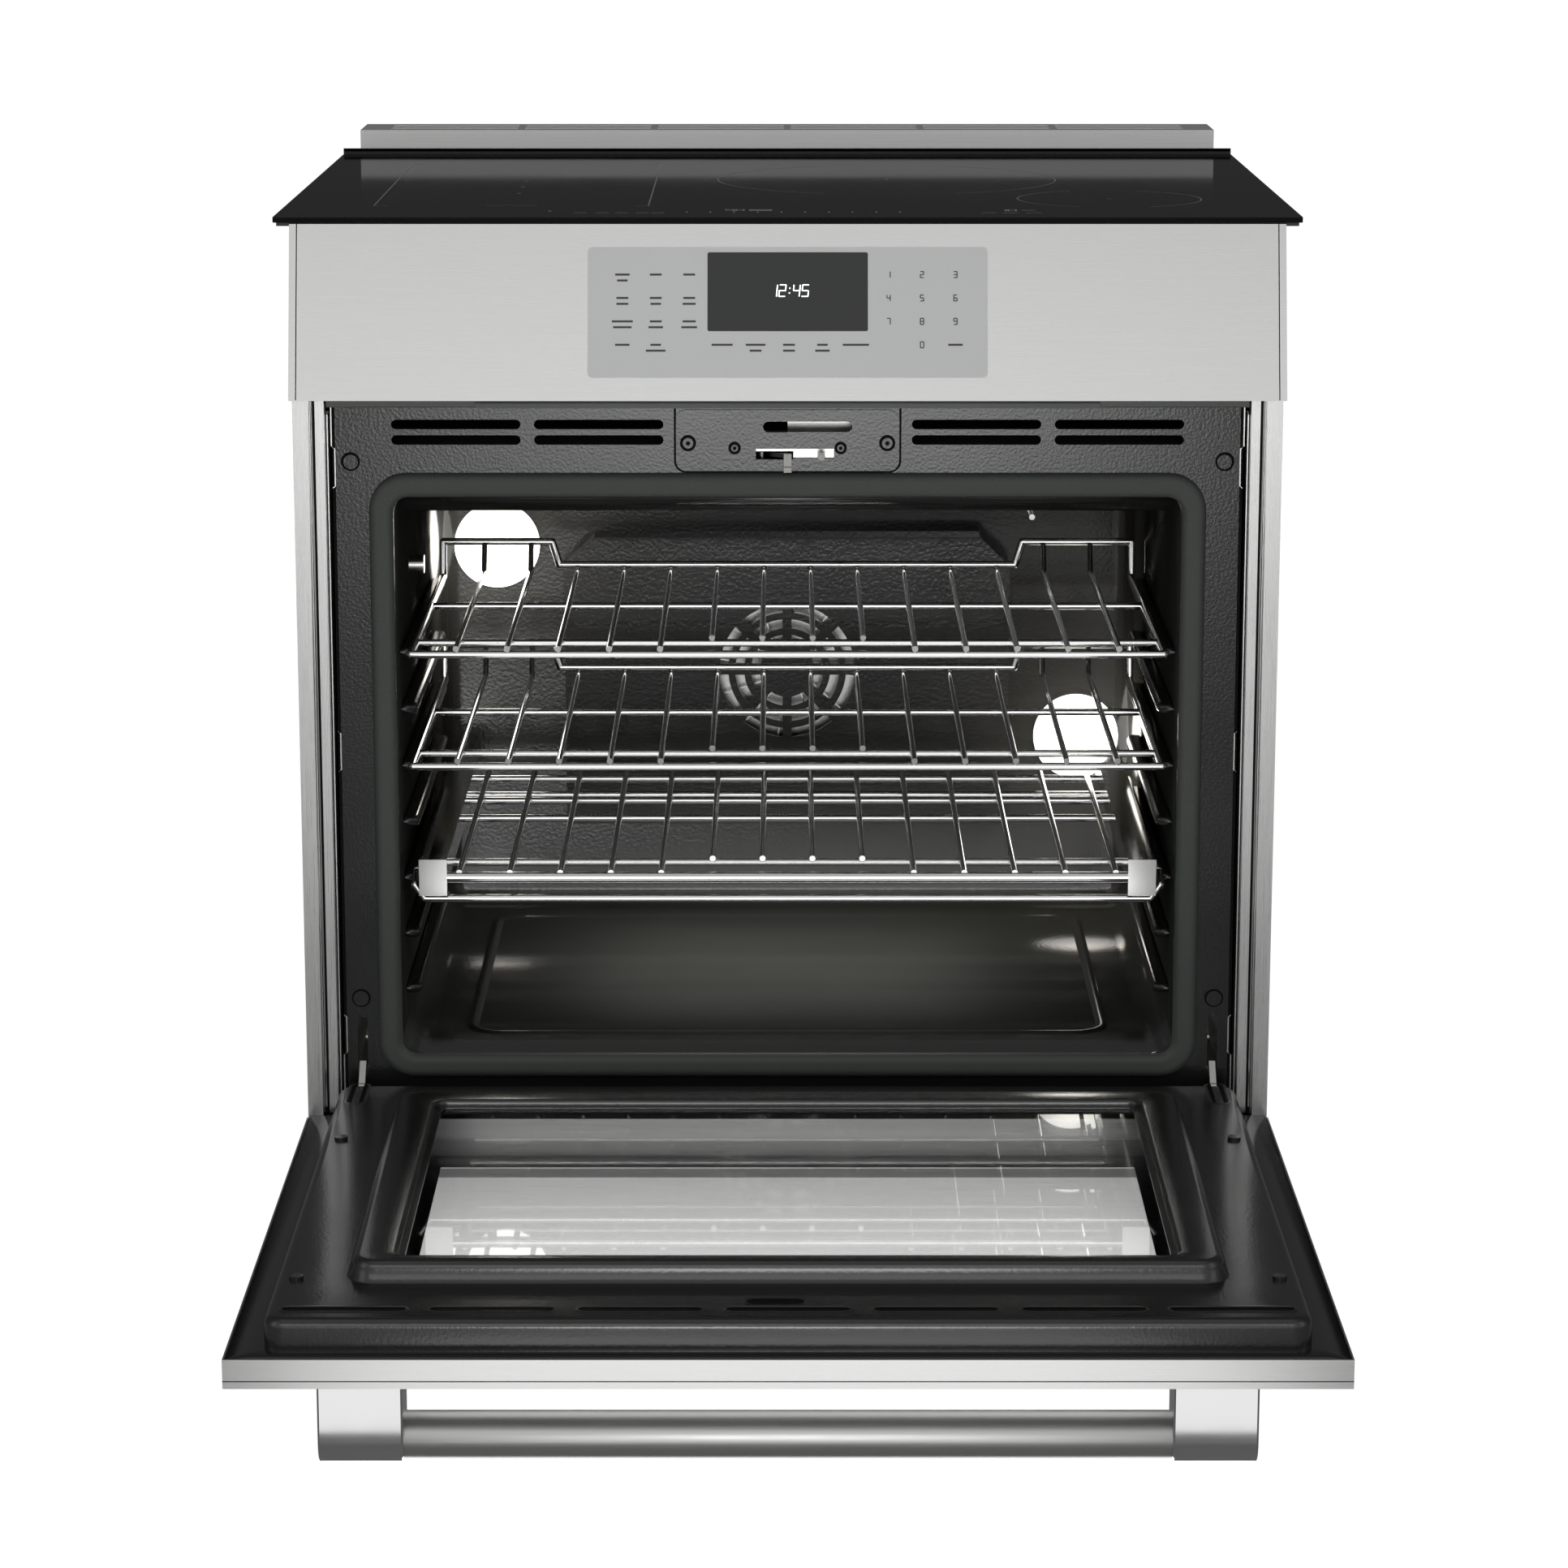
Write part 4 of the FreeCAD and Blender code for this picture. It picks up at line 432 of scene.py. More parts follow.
@dataclass(frozen=True)
class Finish:
    """What every finish knows: its name and colour."""

    name: str
    colour: Colour

    def start(self, metallic: float = 0.0, roughness: float = 0.4) -> tuple[bpy.types.Material, bpy.types.Node]:
        """A new material and its main shader.

        Args:
            metallic: 0 for enamel, glass and plastic, 1 for bare metal.
            roughness: used where no texture drives it.

        Returns:
            The material and its Principled shader.
        """
        material = bpy.data.materials.new(self.name)
        material.use_nodes = True
        shader = material.node_tree.nodes["Principled BSDF"]
        shader.inputs["Base Color"].default_value = (*self.colour, 1.0)
        shader.inputs["Metallic"].default_value = metallic
        shader.inputs["Roughness"].default_value = roughness
        material.diffuse_color = (*self.colour, 1.0)
        return material, shader

    def group(self, material: bpy.types.Material, groups: GroupMaker, name: GroupName,
              **values: float) -> bpy.types.Node:
        """Places a shared group in the material, with its own values.

        Args:
            material: Material that gets the group.
            groups: Maker of the shared groups.
            name: Which shared group.
            **values: Values for the group's inputs.

        Returns:
            The group's node.
        """
        node = material.node_tree.nodes.new("ShaderNodeGroup")
        node.node_tree = groups.trees[name]
        for label, value in values.items():
            node.inputs[label.replace("_", " ")].default_value = value
        return node

    def tinted(self, material: bpy.types.Material, shader: bpy.types.Node, fac: bpy.types.NodeSocket, dark: float,
               light: float) -> None:
        """Varies the base colour between two shades of itself.

        Args:
            material: Material to colour.
            shader: Its surface shader.
            fac: Socket that mixes the two colours.
            dark: Colour at zero.
            light: Colour at one.
        """
        mix = material.node_tree.nodes.new("ShaderNodeMix")
        mix.data_type = "RGBA"
        mix.inputs["A"].default_value = (*(c * dark for c in self.colour), 1.0)
        mix.inputs["B"].default_value = (*(c * light for c in self.colour), 1.0)
        material.node_tree.links.new(fac, mix.inputs["Factor"])
        material.node_tree.links.new(mix.outputs["Result"], shader.inputs["Base Color"])


@dataclass(frozen=True)
class BrushedSteel(Finish):
    """Stainless sheet or bar with a linear grain."""

    grain: Grain = Grain.X
    rough: tuple[float, float] = (0.22, 0.38)
    depth: float = 0.12
    contrast: float = 0.05

    def make(self, groups: GroupMaker) -> bpy.types.Material:
        """Metal whose tone, gloss and bumps follow the scratches.

        Args:
            groups: Maker of the shared groups.

        Returns:
            The finished material.
        """
        material, shader = self.start(metallic=1.0)
        across = [2600.0, 2600.0, 2600.0]
        across[self.grain.value] = 14.0
        grain = self.group(material, groups, GroupName.BRUSHED, Across_X=across[0], Across_Y=across[1],
                           Across_Z=across[2], Depth=self.depth, Rough_low=self.rough[0], Rough_high=self.rough[1],
                           Tone_low=0.0, Tone_high=1.0)
        links = material.node_tree.links
        self.tinted(material, shader, grain.outputs["Tone"], 1 - self.contrast, 1 + self.contrast)
        links.new(grain.outputs["Roughness"], shader.inputs["Roughness"])
        links.new(grain.outputs["Normal"], shader.inputs["Normal"])
        return material


@dataclass(frozen=True)
class Enamel(Finish):
    """Fired porcelain enamel on steel."""

    scale: float = 350.0
    depth: float = 0.2
    rough: tuple[float, float] = (0.2, 0.34)
    ior: float = 1.8

    def make(self, groups: GroupMaker) -> bpy.types.Material:
        """Dark glassy coat with orange peel.

        Args:
            groups: Maker of the shared groups.

        Returns:
            The finished material.
        """
        material, shader = self.start()
        peel = self.group(material, groups, GroupName.PEBBLED, Scale=self.scale, Depth=self.depth,
                          Rough_low=self.rough[0], Rough_high=self.rough[1])
        links = material.node_tree.links
        self.tinted(material, shader, peel.outputs["Mottle"], 0.85, 1.15)
        shader.inputs["IOR"].default_value = self.ior
        links.new(peel.outputs["Roughness"], shader.inputs["Roughness"])
        links.new(peel.outputs["Normal"], shader.inputs["Normal"])
        return material


@dataclass(frozen=True)
class Plated(Finish):
    """Bright plating: chrome or zinc, with faint wiping marks."""

    rough: tuple[float, float] = (0.05, 0.12)

    def make(self, groups: GroupMaker) -> bpy.types.Material:
        """Mirror metal whose gloss changes slowly.

        Args:
            groups: Maker of the shared groups.

        Returns:
            The finished material.
        """
        material, shader = self.start(metallic=1.0)
        marks = self.group(material, groups, GroupName.HANDLED, Scale=25.0, Low=self.rough[0], High=self.rough[1])
        self.tinted(material, shader, marks.outputs["Roughness"], 0.97, 1.0)
        material.node_tree.links.new(marks.outputs["Roughness"], shader.inputs["Roughness"])
        return material


@dataclass(frozen=True)
class Coated(Finish):
    """Paint, moulded plastic, printed film or rubber."""

    rough: tuple[float, float] = (0.35, 0.5)
    coat: float = 0.0

    def make(self, groups: GroupMaker) -> bpy.types.Material:
        """Plain colour with a slowly changing gloss and a light texture.

        Args:
            groups: Maker of the shared groups.

        Returns:
            The finished material.
        """
        material, shader = self.start()
        peel = self.group(material, groups, GroupName.PEBBLED, Scale=900.0, Depth=0.05, Rough_low=self.rough[0],
                          Rough_high=self.rough[1])
        links = material.node_tree.links
        self.tinted(material, shader, peel.outputs["Mottle"], 0.96, 1.04)
        links.new(peel.outputs["Roughness"], shader.inputs["Roughness"])
        links.new(peel.outputs["Normal"], shader.inputs["Normal"])
        shader.inputs["Coat Weight"].default_value = self.coat
        shader.inputs["Coat Roughness"].default_value = 0.05
        return material


@dataclass(frozen=True)
class BlackGlass(Finish):
    """Opaque glossy glass."""

    rough: tuple[float, float] = (0.03, 0.07)
    ior: float = 1.45

    def make(self, groups: GroupMaker) -> bpy.types.Material:
        """Deep colour under a polished surface with faint wiping marks.

        Args:
            groups: Maker of the shared groups.

        Returns:
            The finished material.
        """
        material, shader = self.start()
        marks = self.group(material, groups, GroupName.HANDLED, Scale=8.0, Low=self.rough[0], High=self.rough[1])
        self.tinted(material, shader, marks.outputs["Roughness"], 1.0, 1.2)
        material.node_tree.links.new(marks.outputs["Roughness"], shader.inputs["Roughness"])
        shader.inputs["IOR"].default_value = self.ior
        return material


@dataclass(frozen=True)
class ClearGlass(Finish):
    """Window glass that is seen through."""

    body: float = 0.02
    ior: float = 1.28

    def make(self, groups: GroupMaker) -> bpy.types.Material:
        """A mirror that is only as solid as glass reflects: its alpha is the Fresnel share, on faces
        towards the viewer, plus a little body.

        Args:
            groups: Maker of the shared groups.

        Returns:
            The finished material.
        """
        material, shader = self.start(metallic=1.0, roughness=0.02)
        nodes, links = material.node_tree.nodes, material.node_tree.links
        fresnel = nodes.new("ShaderNodeFresnel")
        fresnel.inputs["IOR"].default_value = self.ior
        side = nodes.new("ShaderNodeNewGeometry")
        outer = nodes.new("ShaderNodeMath")
        outer.operation = "SUBTRACT"
        outer.inputs[0].default_value = 1.0
        links.new(side.outputs["Backfacing"], outer.inputs[1])
        shown = nodes.new("ShaderNodeMath")
        shown.operation = "MULTIPLY"
        links.new(fresnel.outputs[0], shown.inputs[0])
        links.new(outer.outputs[0], shown.inputs[1])
        solid = nodes.new("ShaderNodeMath")
        solid.operation = "ADD"
        solid.use_clamp = True
        solid.inputs[1].default_value = self.body
        links.new(shown.outputs[0], solid.inputs[0])
        links.new(solid.outputs[0], shader.inputs["Alpha"])
        return material


@dataclass(frozen=True)
class Glowing(Finish):
    """Something lit from inside."""

    strength: float = 4.0

    def make(self, groups: GroupMaker) -> bpy.types.Material:
        """Frosted surface that gives off its own light.

        Args:
            groups: Maker of the shared groups.

        Returns:
            The finished material.
        """
        material, shader = self.start(roughness=0.3)
        shader.inputs["Emission Color"].default_value = (*self.colour, 1.0)
        shader.inputs["Emission Strength"].default_value = self.strength
        return material


@dataclass(frozen=True)
class Braid(Finish):
    """Woven door seal."""

    def make(self, groups: GroupMaker) -> bpy.types.Material:
        """Dark yarn with a crossed weave.

        Args:
            groups: Maker of the shared groups.

        Returns:
            The finished material.
        """
        material, shader = self.start(roughness=0.6)
        weave = self.group(material, groups, GroupName.BRAIDED, Scale=300.0, Depth=0.35)
        self.tinted(material, shader, weave.outputs["Shade"], 0.85, 1.1)
        material.node_tree.links.new(weave.outputs["Normal"], shader.inputs["Normal"])
        return material


class Palette:
    """Makes each material once and hands it out by name."""

    FINISHES: tuple[Finish, ...] = (
        BrushedSteel("stainless_across", (0.62, 0.62, 0.615), Grain.X, (0.26, 0.36), 0.06, 0.05),
        BrushedSteel("stainless_upright", (0.6, 0.6, 0.595), Grain.Z, (0.24, 0.34), 0.06, 0.05),
        BrushedSteel("stainless_rear", (0.95, 0.95, 0.945), Grain.X, (0.5, 0.6), 0.06, 0.05),
        BrushedSteel("stainless_bar", (0.46, 0.46, 0.455), Grain.X, (0.3, 0.42), 0.08, 0.05),
        BrushedSteel("galvanised", (0.4, 0.41, 0.42), Grain.Y, (0.4, 0.55), 0.05, 0.1),
        Plated("polished_steel", (0.56, 0.56, 0.56), (0.05, 0.1)),
        Plated("chrome_wire", (0.88, 0.88, 0.87), (0.06, 0.12)),
        Plated("zinc", (0.62, 0.62, 0.6), (0.18, 0.32)),
        Plated("dark_zinc", (0.13, 0.13, 0.125), (0.2, 0.32)),
        Enamel("black_enamel", (0.009, 0.0105, 0.009), 420.0, 0.16, (0.16, 0.24), 1.58),
        Enamel("cavity_enamel", (0.012, 0.0125, 0.0115), 320.0, 0.2, (0.12, 0.2), 1.48),
        Enamel("door_enamel", (0.012, 0.0135, 0.012), 420.0, 0.12, (0.16, 0.24), 1.75),
        Coated("dark_sheet", (0.03, 0.03, 0.03), (0.4, 0.55)),
        Coated("black_plastic", (0.012, 0.012, 0.012), (0.3, 0.45)),
        Coated("rubber_foot", (0.02, 0.02, 0.02), (0.6, 0.8)),
        Coated("touch_film", (0.72, 0.725, 0.725), (0.3, 0.36), 0.3),
        Coated("key_print", (0.06, 0.06, 0.06), (0.4, 0.5)),
        Coated("circuit", (0.02, 0.12, 0.05), (0.3, 0.5)),
        Coated("copper_coil", (0.35, 0.15, 0.07), (0.3, 0.5)),
        # Insulation jacket coloured near black: painted shade where it shows.
        Coated("mineral_wool", (0.05, 0.05, 0.048), (0.7, 0.9)),
        Coated("element_sheath", (0.03, 0.028, 0.026), (0.4, 0.6)),
        Coated("glass_print", (0.34, 0.35, 0.35), (0.3, 0.4)),
        Coated("bright_print", (0.72, 0.74, 0.74), (0.3, 0.4)),
        BlackGlass("ceramic_glass", (0.012, 0.0135, 0.012), (0.05, 0.1), 1.032),
        BlackGlass("display_glass", (0.004, 0.005, 0.005)),
        # Near-black gloss for painted shade: lines in gaps and seams, patches in recesses and slot openings, rings
        # round screws.
        BlackGlass("painted_shade_black", (0.002, 0.002, 0.002), (0.5, 0.6), 1.2),
        Coated("trim_grey", (0.11, 0.12, 0.11), (0.35, 0.5)),
        ClearGlass("pane_glass", (0.9, 0.92, 0.9)),
        Glowing("lamp_glass", (1.0, 0.985, 0.96), 3.0),
        Glowing("clock_light", (0.95, 1.0, 1.0), 2.5),
        Braid("gasket_braid", (0.055, 0.061, 0.056)),
    )

    def __init__(self, groups: GroupMaker) -> None:
        """Makes every finish's material."""
        self.materials = {finish.name: finish.make(groups) for finish in self.FINISHES}

    def dress(self, piece: bpy.types.Object, finish: str) -> bpy.types.Object:
        """Gives a piece one material.

        Args:
            piece: Piece to dress.
            finish: Finish that it gets.

        Returns:
            The same piece.
        """
        piece.data.materials.clear()
        piece.data.materials.append(self.materials[finish])
        return piece


@dataclass
class Workshop:
    """What every sub-assembly needs: the frame's nodes and the palette."""

    nodes: dict[str, bpy.types.Object]
    palette: Palette

    def add(self, piece: bpy.types.Object, body: str, finish: str, slot: str, *instead_of: str) -> bpy.types.Object:
        """Dresses a new piece and lets it ride on a body.

        Args:
            piece: the new object.
            body: the body that carries it.
            finish: the palette's material.
            slot: not used.
            instead_of: frame nodes that this piece stands for.

        Returns:
            The same piece.
        """
        self.palette.dress(piece, finish)
        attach(piece, body)
        if instead_of:
            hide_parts(*instead_of)
        LOG.info("%s rides on %s", piece.name, body)
        return piece


# ------------------------------------------------------------------ frame nodes that keep their shape
NODE_FINISH: dict[str, str] = {
    "base_frame": "galvanised", "leveling_legs": "rubber_foot", "side_panel_left": "dark_sheet",
    "side_panel_right": "dark_sheet", "back_panel": "galvanised", "kick_plate": "dark_sheet",
    "front_post_left": "stainless_upright", "front_post_right": "stainless_upright",
    "oven_front_frame": "black_enamel", "oven_liner": "cavity_enamel", "door_gasket": "gasket_braid",
    "insulation_jacket": "mineral_wool", "rack_guide_left": "cavity_enamel", "rack_guide_right": "cavity_enamel",
    "fan_baffle": "cavity_enamel", "convection_fan": "zinc", "convection_motor": "galvanised",
    "convection_element": "element_sheath", "broil_element": "element_sheath", "bake_element": "element_sheath",
    "lamp_lenses": "lamp_glass", "lamp_sockets": "zinc", "temperature_sensor": "zinc", "probe_jack": "zinc",
    "latch_plate": "black_enamel", "latch_hook": "dark_zinc", "latch_motor": "zinc", "door_switch_plunger": "dark_zinc",
    "hinge_arms": "zinc", "air_outlet_trim": "trim_grey", "blower_housing": "galvanised", "blower_wheel": "zinc",
    "fascia_panel": "stainless_across", "touch_panel": "touch_film", "display_window": "display_glass",
    "circuit_boards": "circuit", "terminal_block": "black_plastic", "cooktop_glass": "ceramic_glass",
    "cooktop_tray": "black_plastic", "cooktop_rear_rail": "black_plastic", "induction_coils": "copper_coil",
    "backguard": "stainless_rear", "upper_rack": "chrome_wire", "middle_rack": "chrome_wire",
    "glide_rack": "chrome_wire", "glide_frame": "chrome_wire", "glide_runners": "zinc",
    "drawer_front": "stainless_across", "drawer_box": "galvanised", "drawer_slides": "zinc",
    "frame_screws": "black_enamel", "door_skin": "stainless_across", "door_glass_outer": "pane_glass",
    "door_glass_middle": "pane_glass", "door_glass_inner": "pane_glass", "door_inner_panel": "door_enamel",
    "door_hinges": "zinc", "door_screws": "black_enamel", "handle_bar": "stainless_bar",
    "handle_brackets": "polished_steel",
}


# ------------------------------------------------------------------ studio
@dataclass(frozen=True)
class Softbox:
    """One rectangular studio light; its glow is what a mirror would show, in the world's units."""

    name: str
    place: tuple[float, float, float]
    target: tuple[float, float, float]
    size: tuple[float, float]
    glow: float

    def build(self) -> None:
        """Hangs the light; its power is glow times pi times area, and the camera doesn't see it."""
        data = bpy.data.lights.new(self.name, "AREA")
        data.shape = "RECTANGLE"
        data.size, data.size_y = self.size
        data.energy = self.glow * math.pi * self.size[0] * self.size[1]
        lamp = bpy.data.objects.new(self.name, data)
        lamp.location = self.place
        lamp.rotation_euler = (Vector(self.target) - Vector(self.place)).to_track_quat("-Z", "Y").to_euler()
        lamp.visible_camera = False
        bpy.context.scene.collection.objects.link(lamp)


@dataclass
class Studio:
    """Pale floor, soft light and the camera, which stands in front and a little above the cooktop."""

    camera_ahead: float = 2.932  # in front of the open door's edge
    camera_aside: float = -0.0028
    camera_height: float = 1.2511
    camera_pitch: float = 12.462
    sensor: float = 36.0  # mm
    lens: float = 105.86  # mm
    boxes: tuple[Softbox, ...] = (
        Softbox("upper_softbox", (-0.3, -4.6, 2.4), (0, 0, 0.6), (4.2, 1.5), 0.8),
        Softbox("front_softbox", (0.0, -4.4, 0.45), (0, 0, 0.55), (1.3, 1.0), 5.0),
        Softbox("near_floor_box", (0.0, -0.35, 0.003), (0, -0.35, 2.0), (0.7, 0.34), 1.9),
        Softbox("far_floor_box", (0.0, -1.35, 0.003), (0, -1.35, 2.0), (0.8, 0.8), 1.3),
        Softbox("left_softbox", (-2.6, -1.8, 1.5), (0, -0.2, 0.5), (1.2, 2.0), 0.4),
        Softbox("right_softbox", (2.6, -1.8, 1.5), (0, -0.2, 0.5), (1.2, 2.0), 0.35),
        Softbox("top_softbox", (0.0, -0.9, 3.2), (0, -0.3, 0.4), (2.4, 1.4), 0.2),
    )

    def build(self, low: Vector) -> None:
        """Sets up everything that isn't the object; low is the object's lowest corner.

        Args:
            low: Lowest point of the object.
        """
        self._camera(low)
        self._floor(low)
        for box in self.boxes:
            box.build()
        self._world()
        bpy.context.scene.view_settings.view_transform = "Standard"

    def _camera(self, low: Vector) -> None:
        """The camera looks straight back and a little down.

        Args:
            low: Lowest point of the object.
        """
        data = bpy.data.cameras.new("camera")
        data.sensor_width = self.sensor
        data.lens = self.lens
        camera = bpy.data.objects.new("camera", data)
        camera.location = (self.camera_aside, low.y - self.camera_ahead, self.camera_height)
        camera.rotation_euler = (math.radians(90 - self.camera_pitch), 0.0, 0.0)
        bpy.context.scene.collection.objects.link(camera)
        bpy.context.scene.camera = camera

    def _floor(self, low: Vector) -> None:
        """A wide pale sheet just under the feet; the camera sees it nearly white, with soft shadows.

        Args:
            low: Lowest point of the object.
        """
        half = 12.0
        z = low.z - 0.0005
        corners = np.array([[-half, -half, z], [half, -half, z], [half, half, z], [-half, half, z]])
        floor = mesh_piece("studio_floor", corners, [[0, 1, 2, 3]])
        material = bpy.data.materials.new("studio_floor")
        material.use_nodes = True
        nodes, links = material.node_tree.nodes, material.node_tree.links
        shader = nodes["Principled BSDF"]
        shader.inputs["Base Color"].default_value = (0.5, 0.5, 0.5, 1.0)
        shader.inputs["Roughness"].default_value = 0.9
        glow = nodes.new("ShaderNodeEmission")
        glow.inputs["Strength"].default_value = 1.06
        path = nodes.new("ShaderNodeLightPath")
        share = nodes.new("ShaderNodeMath")
        share.operation = "MULTIPLY"
        share.inputs[1].default_value = 0.96
        links.new(path.outputs["Is Camera Ray"], share.inputs[0])
        mix = nodes.new("ShaderNodeMixShader")
        links.new(share.outputs[0], mix.inputs["Fac"])
        links.new(shader.outputs[0], mix.inputs[1])
        links.new(glow.outputs[0], mix.inputs[2])
        links.new(mix.outputs[0], nodes["Material Output"].inputs["Surface"])
        floor.data.materials.append(material)
        floor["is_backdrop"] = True

    def _world(self) -> None:
        """White behind the object; for light and reflections, mid grey in front and dark behind."""
        world = bpy.data.worlds.new("studio")
        bpy.context.scene.world = world
        world.use_nodes = True
        nodes, links = world.node_tree.nodes, world.node_tree.links
        background = nodes["Background"]
        place = nodes.new("ShaderNodeTexCoord")
        split = nodes.new("ShaderNodeSeparateXYZ")
        links.new(place.outputs["Generated"], split.inputs[0])
        ramp = nodes.new("ShaderNodeMapRange")
        ramp.inputs["From Min"].default_value = -0.95
        ramp.inputs["From Max"].default_value = 0.3
        ramp.inputs["To Min"].default_value = 0.5
        ramp.inputs["To Max"].default_value = 0.08
        links.new(split.outputs["Y"], ramp.inputs["Value"])
        path = nodes.new("ShaderNodeLightPath")
        mix = nodes.new("ShaderNodeMix")
        links.new(path.outputs["Is Camera Ray"], mix.inputs["Factor"])
        links.new(ramp.outputs["Result"], mix.inputs["A"])
        mix.inputs["B"].default_value = 1.1
        links.new(mix.outputs["Result"], background.inputs["Strength"])
        background.inputs["Color"].default_value = (1.0, 1.0, 1.0, 1.0)


@dataclass
class OvenLamps:
    """Warm light that the two oven lamps throw on the cavity."""

    power: float = 0.9
    radius: float = 0.03
    ahead: float = 0.045
    floor_power: float = 2.2
    floor_size: float = 0.32
    floor_above: float = 0.1

    def build(self) -> None:
        """Hangs a small warm light in front of each lens, the left one higher, and their spill on the floor."""
        self._spill()
        low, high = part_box("lamp_lenses")
        r = LENS_RADIUS
        for name, x, z in (("left_lamp", low.x + r, high.z - r), ("right_lamp", high.x - r, low.z + r)):
            data = bpy.data.lights.new(name, "POINT")
            data.energy, data.shadow_soft_size, data.color = self.power, self.radius, (1.0, 0.9, 0.76)
            lamp = bpy.data.objects.new(name, data)
            lamp.location = (x, low.y - self.ahead, z)
            lamp.visible_camera = False
            lamp.visible_glossy = False
            bpy.context.scene.collection.objects.link(lamp)

    def _spill(self) -> None:
        """Soft square light close above the middle of the cavity floor, pointing down."""
        low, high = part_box("oven_liner")
        data = bpy.data.lights.new("cavity_spill", "AREA")
        data.size, data.energy, data.color = self.floor_size, self.floor_power, (1.0, 0.98, 0.94)
        lamp = bpy.data.objects.new("cavity_spill", data)
        lamp.location = (0.0, (low.y + high.y) / 2, low.z + self.floor_above)
        lamp.visible_camera = False
        lamp.visible_glossy = False
        bpy.context.scene.collection.objects.link(lamp)


# ------------------------------------------------------------------ printing on flat faces
FASCIA_DROP, FASCIA_RUN = 0.1306, 0.0356  # the fascia slopes forward by the run over the drop


def stroke(points: Array, width: float) -> tuple[Array, list[list[int]]]:
    """A flat ribbon along a drawn line: each point moved half the width to its two sides.

    Args:
        points: Points that the line runs through.
        width: Width of the line.

    Returns:
        Corner points and faces.
    """
    along = np.gradient(points, axis=0)
    across = np.stack([-along[:, 1], along[:, 0]], 1)
    across /= np.linalg.norm(across, axis=1, keepdims=True)
    ribbon = np.stack([points - across * width / 2, points + across * width / 2], 1)
    return ribbon.reshape(-1, 2), grid_faces(len(points), 2).tolist()


def line(start: tuple[float, float], end: tuple[float, float], width: float) -> tuple[Array, list[list[int]]]:
    """A straight ribbon."""
    return stroke(np.array([start, end], float), width)


def arc(centre: tuple[float, float], radius: float, first: float, last: float,
        width: float) -> tuple[Array, list[list[int]]]:
    """A ribbon along part of a circle; angles in degrees from +X.

    Args:
        centre: Middle of the circle.
        radius: Radius of the line's middle.
        first: Angle where it starts.
        last: Angle where it ends.
        width: Width of the line.

    Returns:
        Corner points and faces.
    """
    angle = np.radians(np.linspace(first, last, 72))
    points = np.stack([centre[0] + radius * np.cos(angle), centre[1] + radius * np.sin(angle)], 1)
    return stroke(points, width)


def dot(centre: tuple[float, float], radius: float) -> tuple[Array, list[list[int]]]:
    """A filled disc."""
    angle = np.linspace(0, 2 * math.pi, 20, endpoint=False)
    return np.stack([centre[0] + radius * np.cos(angle), centre[1] + radius * np.sin(angle)], 1), [list(range(20))]


SEGMENTS = {"0": "abcdef", "1": "bc", "2": "abged", "3": "abgcd", "4": "fgbc", "5": "afgcd", "6": "afgedc",
            "7": "abc", "8": "abcdefg", "9": "abcdfg"}


def digit(figure: str, centre: tuple[float, float], height: float, width: float, slant: float = 0.0) -> list:
    """A seven-segment figure drawn with ribbons.

    Args:
        figure: The figure, 0 to 9.
        centre: Middle of the figure.
        height: Its height.
        width: Its width.
        slant: Sideways lean of the top.

    Returns:
        One mark for each lit bar.
    """
    h, w = height / 2, height * 0.27
    ends = {"a": ((-w, h), (w, h)), "b": ((w, h), (w, 0)), "c": ((w, 0), (w, -h)), "d": ((-w, -h), (w, -h)),
            "e": ((-w, 0), (-w, -h)), "f": ((-w, h), (-w, 0)), "g": ((-w, 0), (w, 0))}

    def place(point: tuple[float, float]) -> tuple[float, float]:
        """Moves and slants one end."""
        return centre[0] + point[0] + slant * point[1], centre[1] + point[1]

    return [line(place(ends[s][0]), place(ends[s][1]), width) for s in SEGMENTS[figure]]


def printed(name: str, marks: Iterable[tuple[Array, list[list[int]]]],
            lay: Callable[[Array], Array]) -> bpy.types.Object:
    """Thin print from flat marks.

    Args:
        name: the object's name.
        marks: ribbons and discs in the drawing's two coordinates.
        lay: turns those coordinates into places on the surface.

    Returns:
        One mesh of all the marks.
    """
    points, faces, start = [], [], 0
    for xy, cells in marks:
        points.append(xy)
        faces += [[start + corner for corner in cell] for cell in cells]
        start += len(xy)
    mesh = bpy.data.meshes.new(name)
    mesh.from_pydata(lay(np.concatenate(points)).tolist(), [], faces)
    mesh.update()
    piece = bpy.data.objects.new(name, mesh)
    bpy.context.scene.collection.objects.link(piece)
    return piece


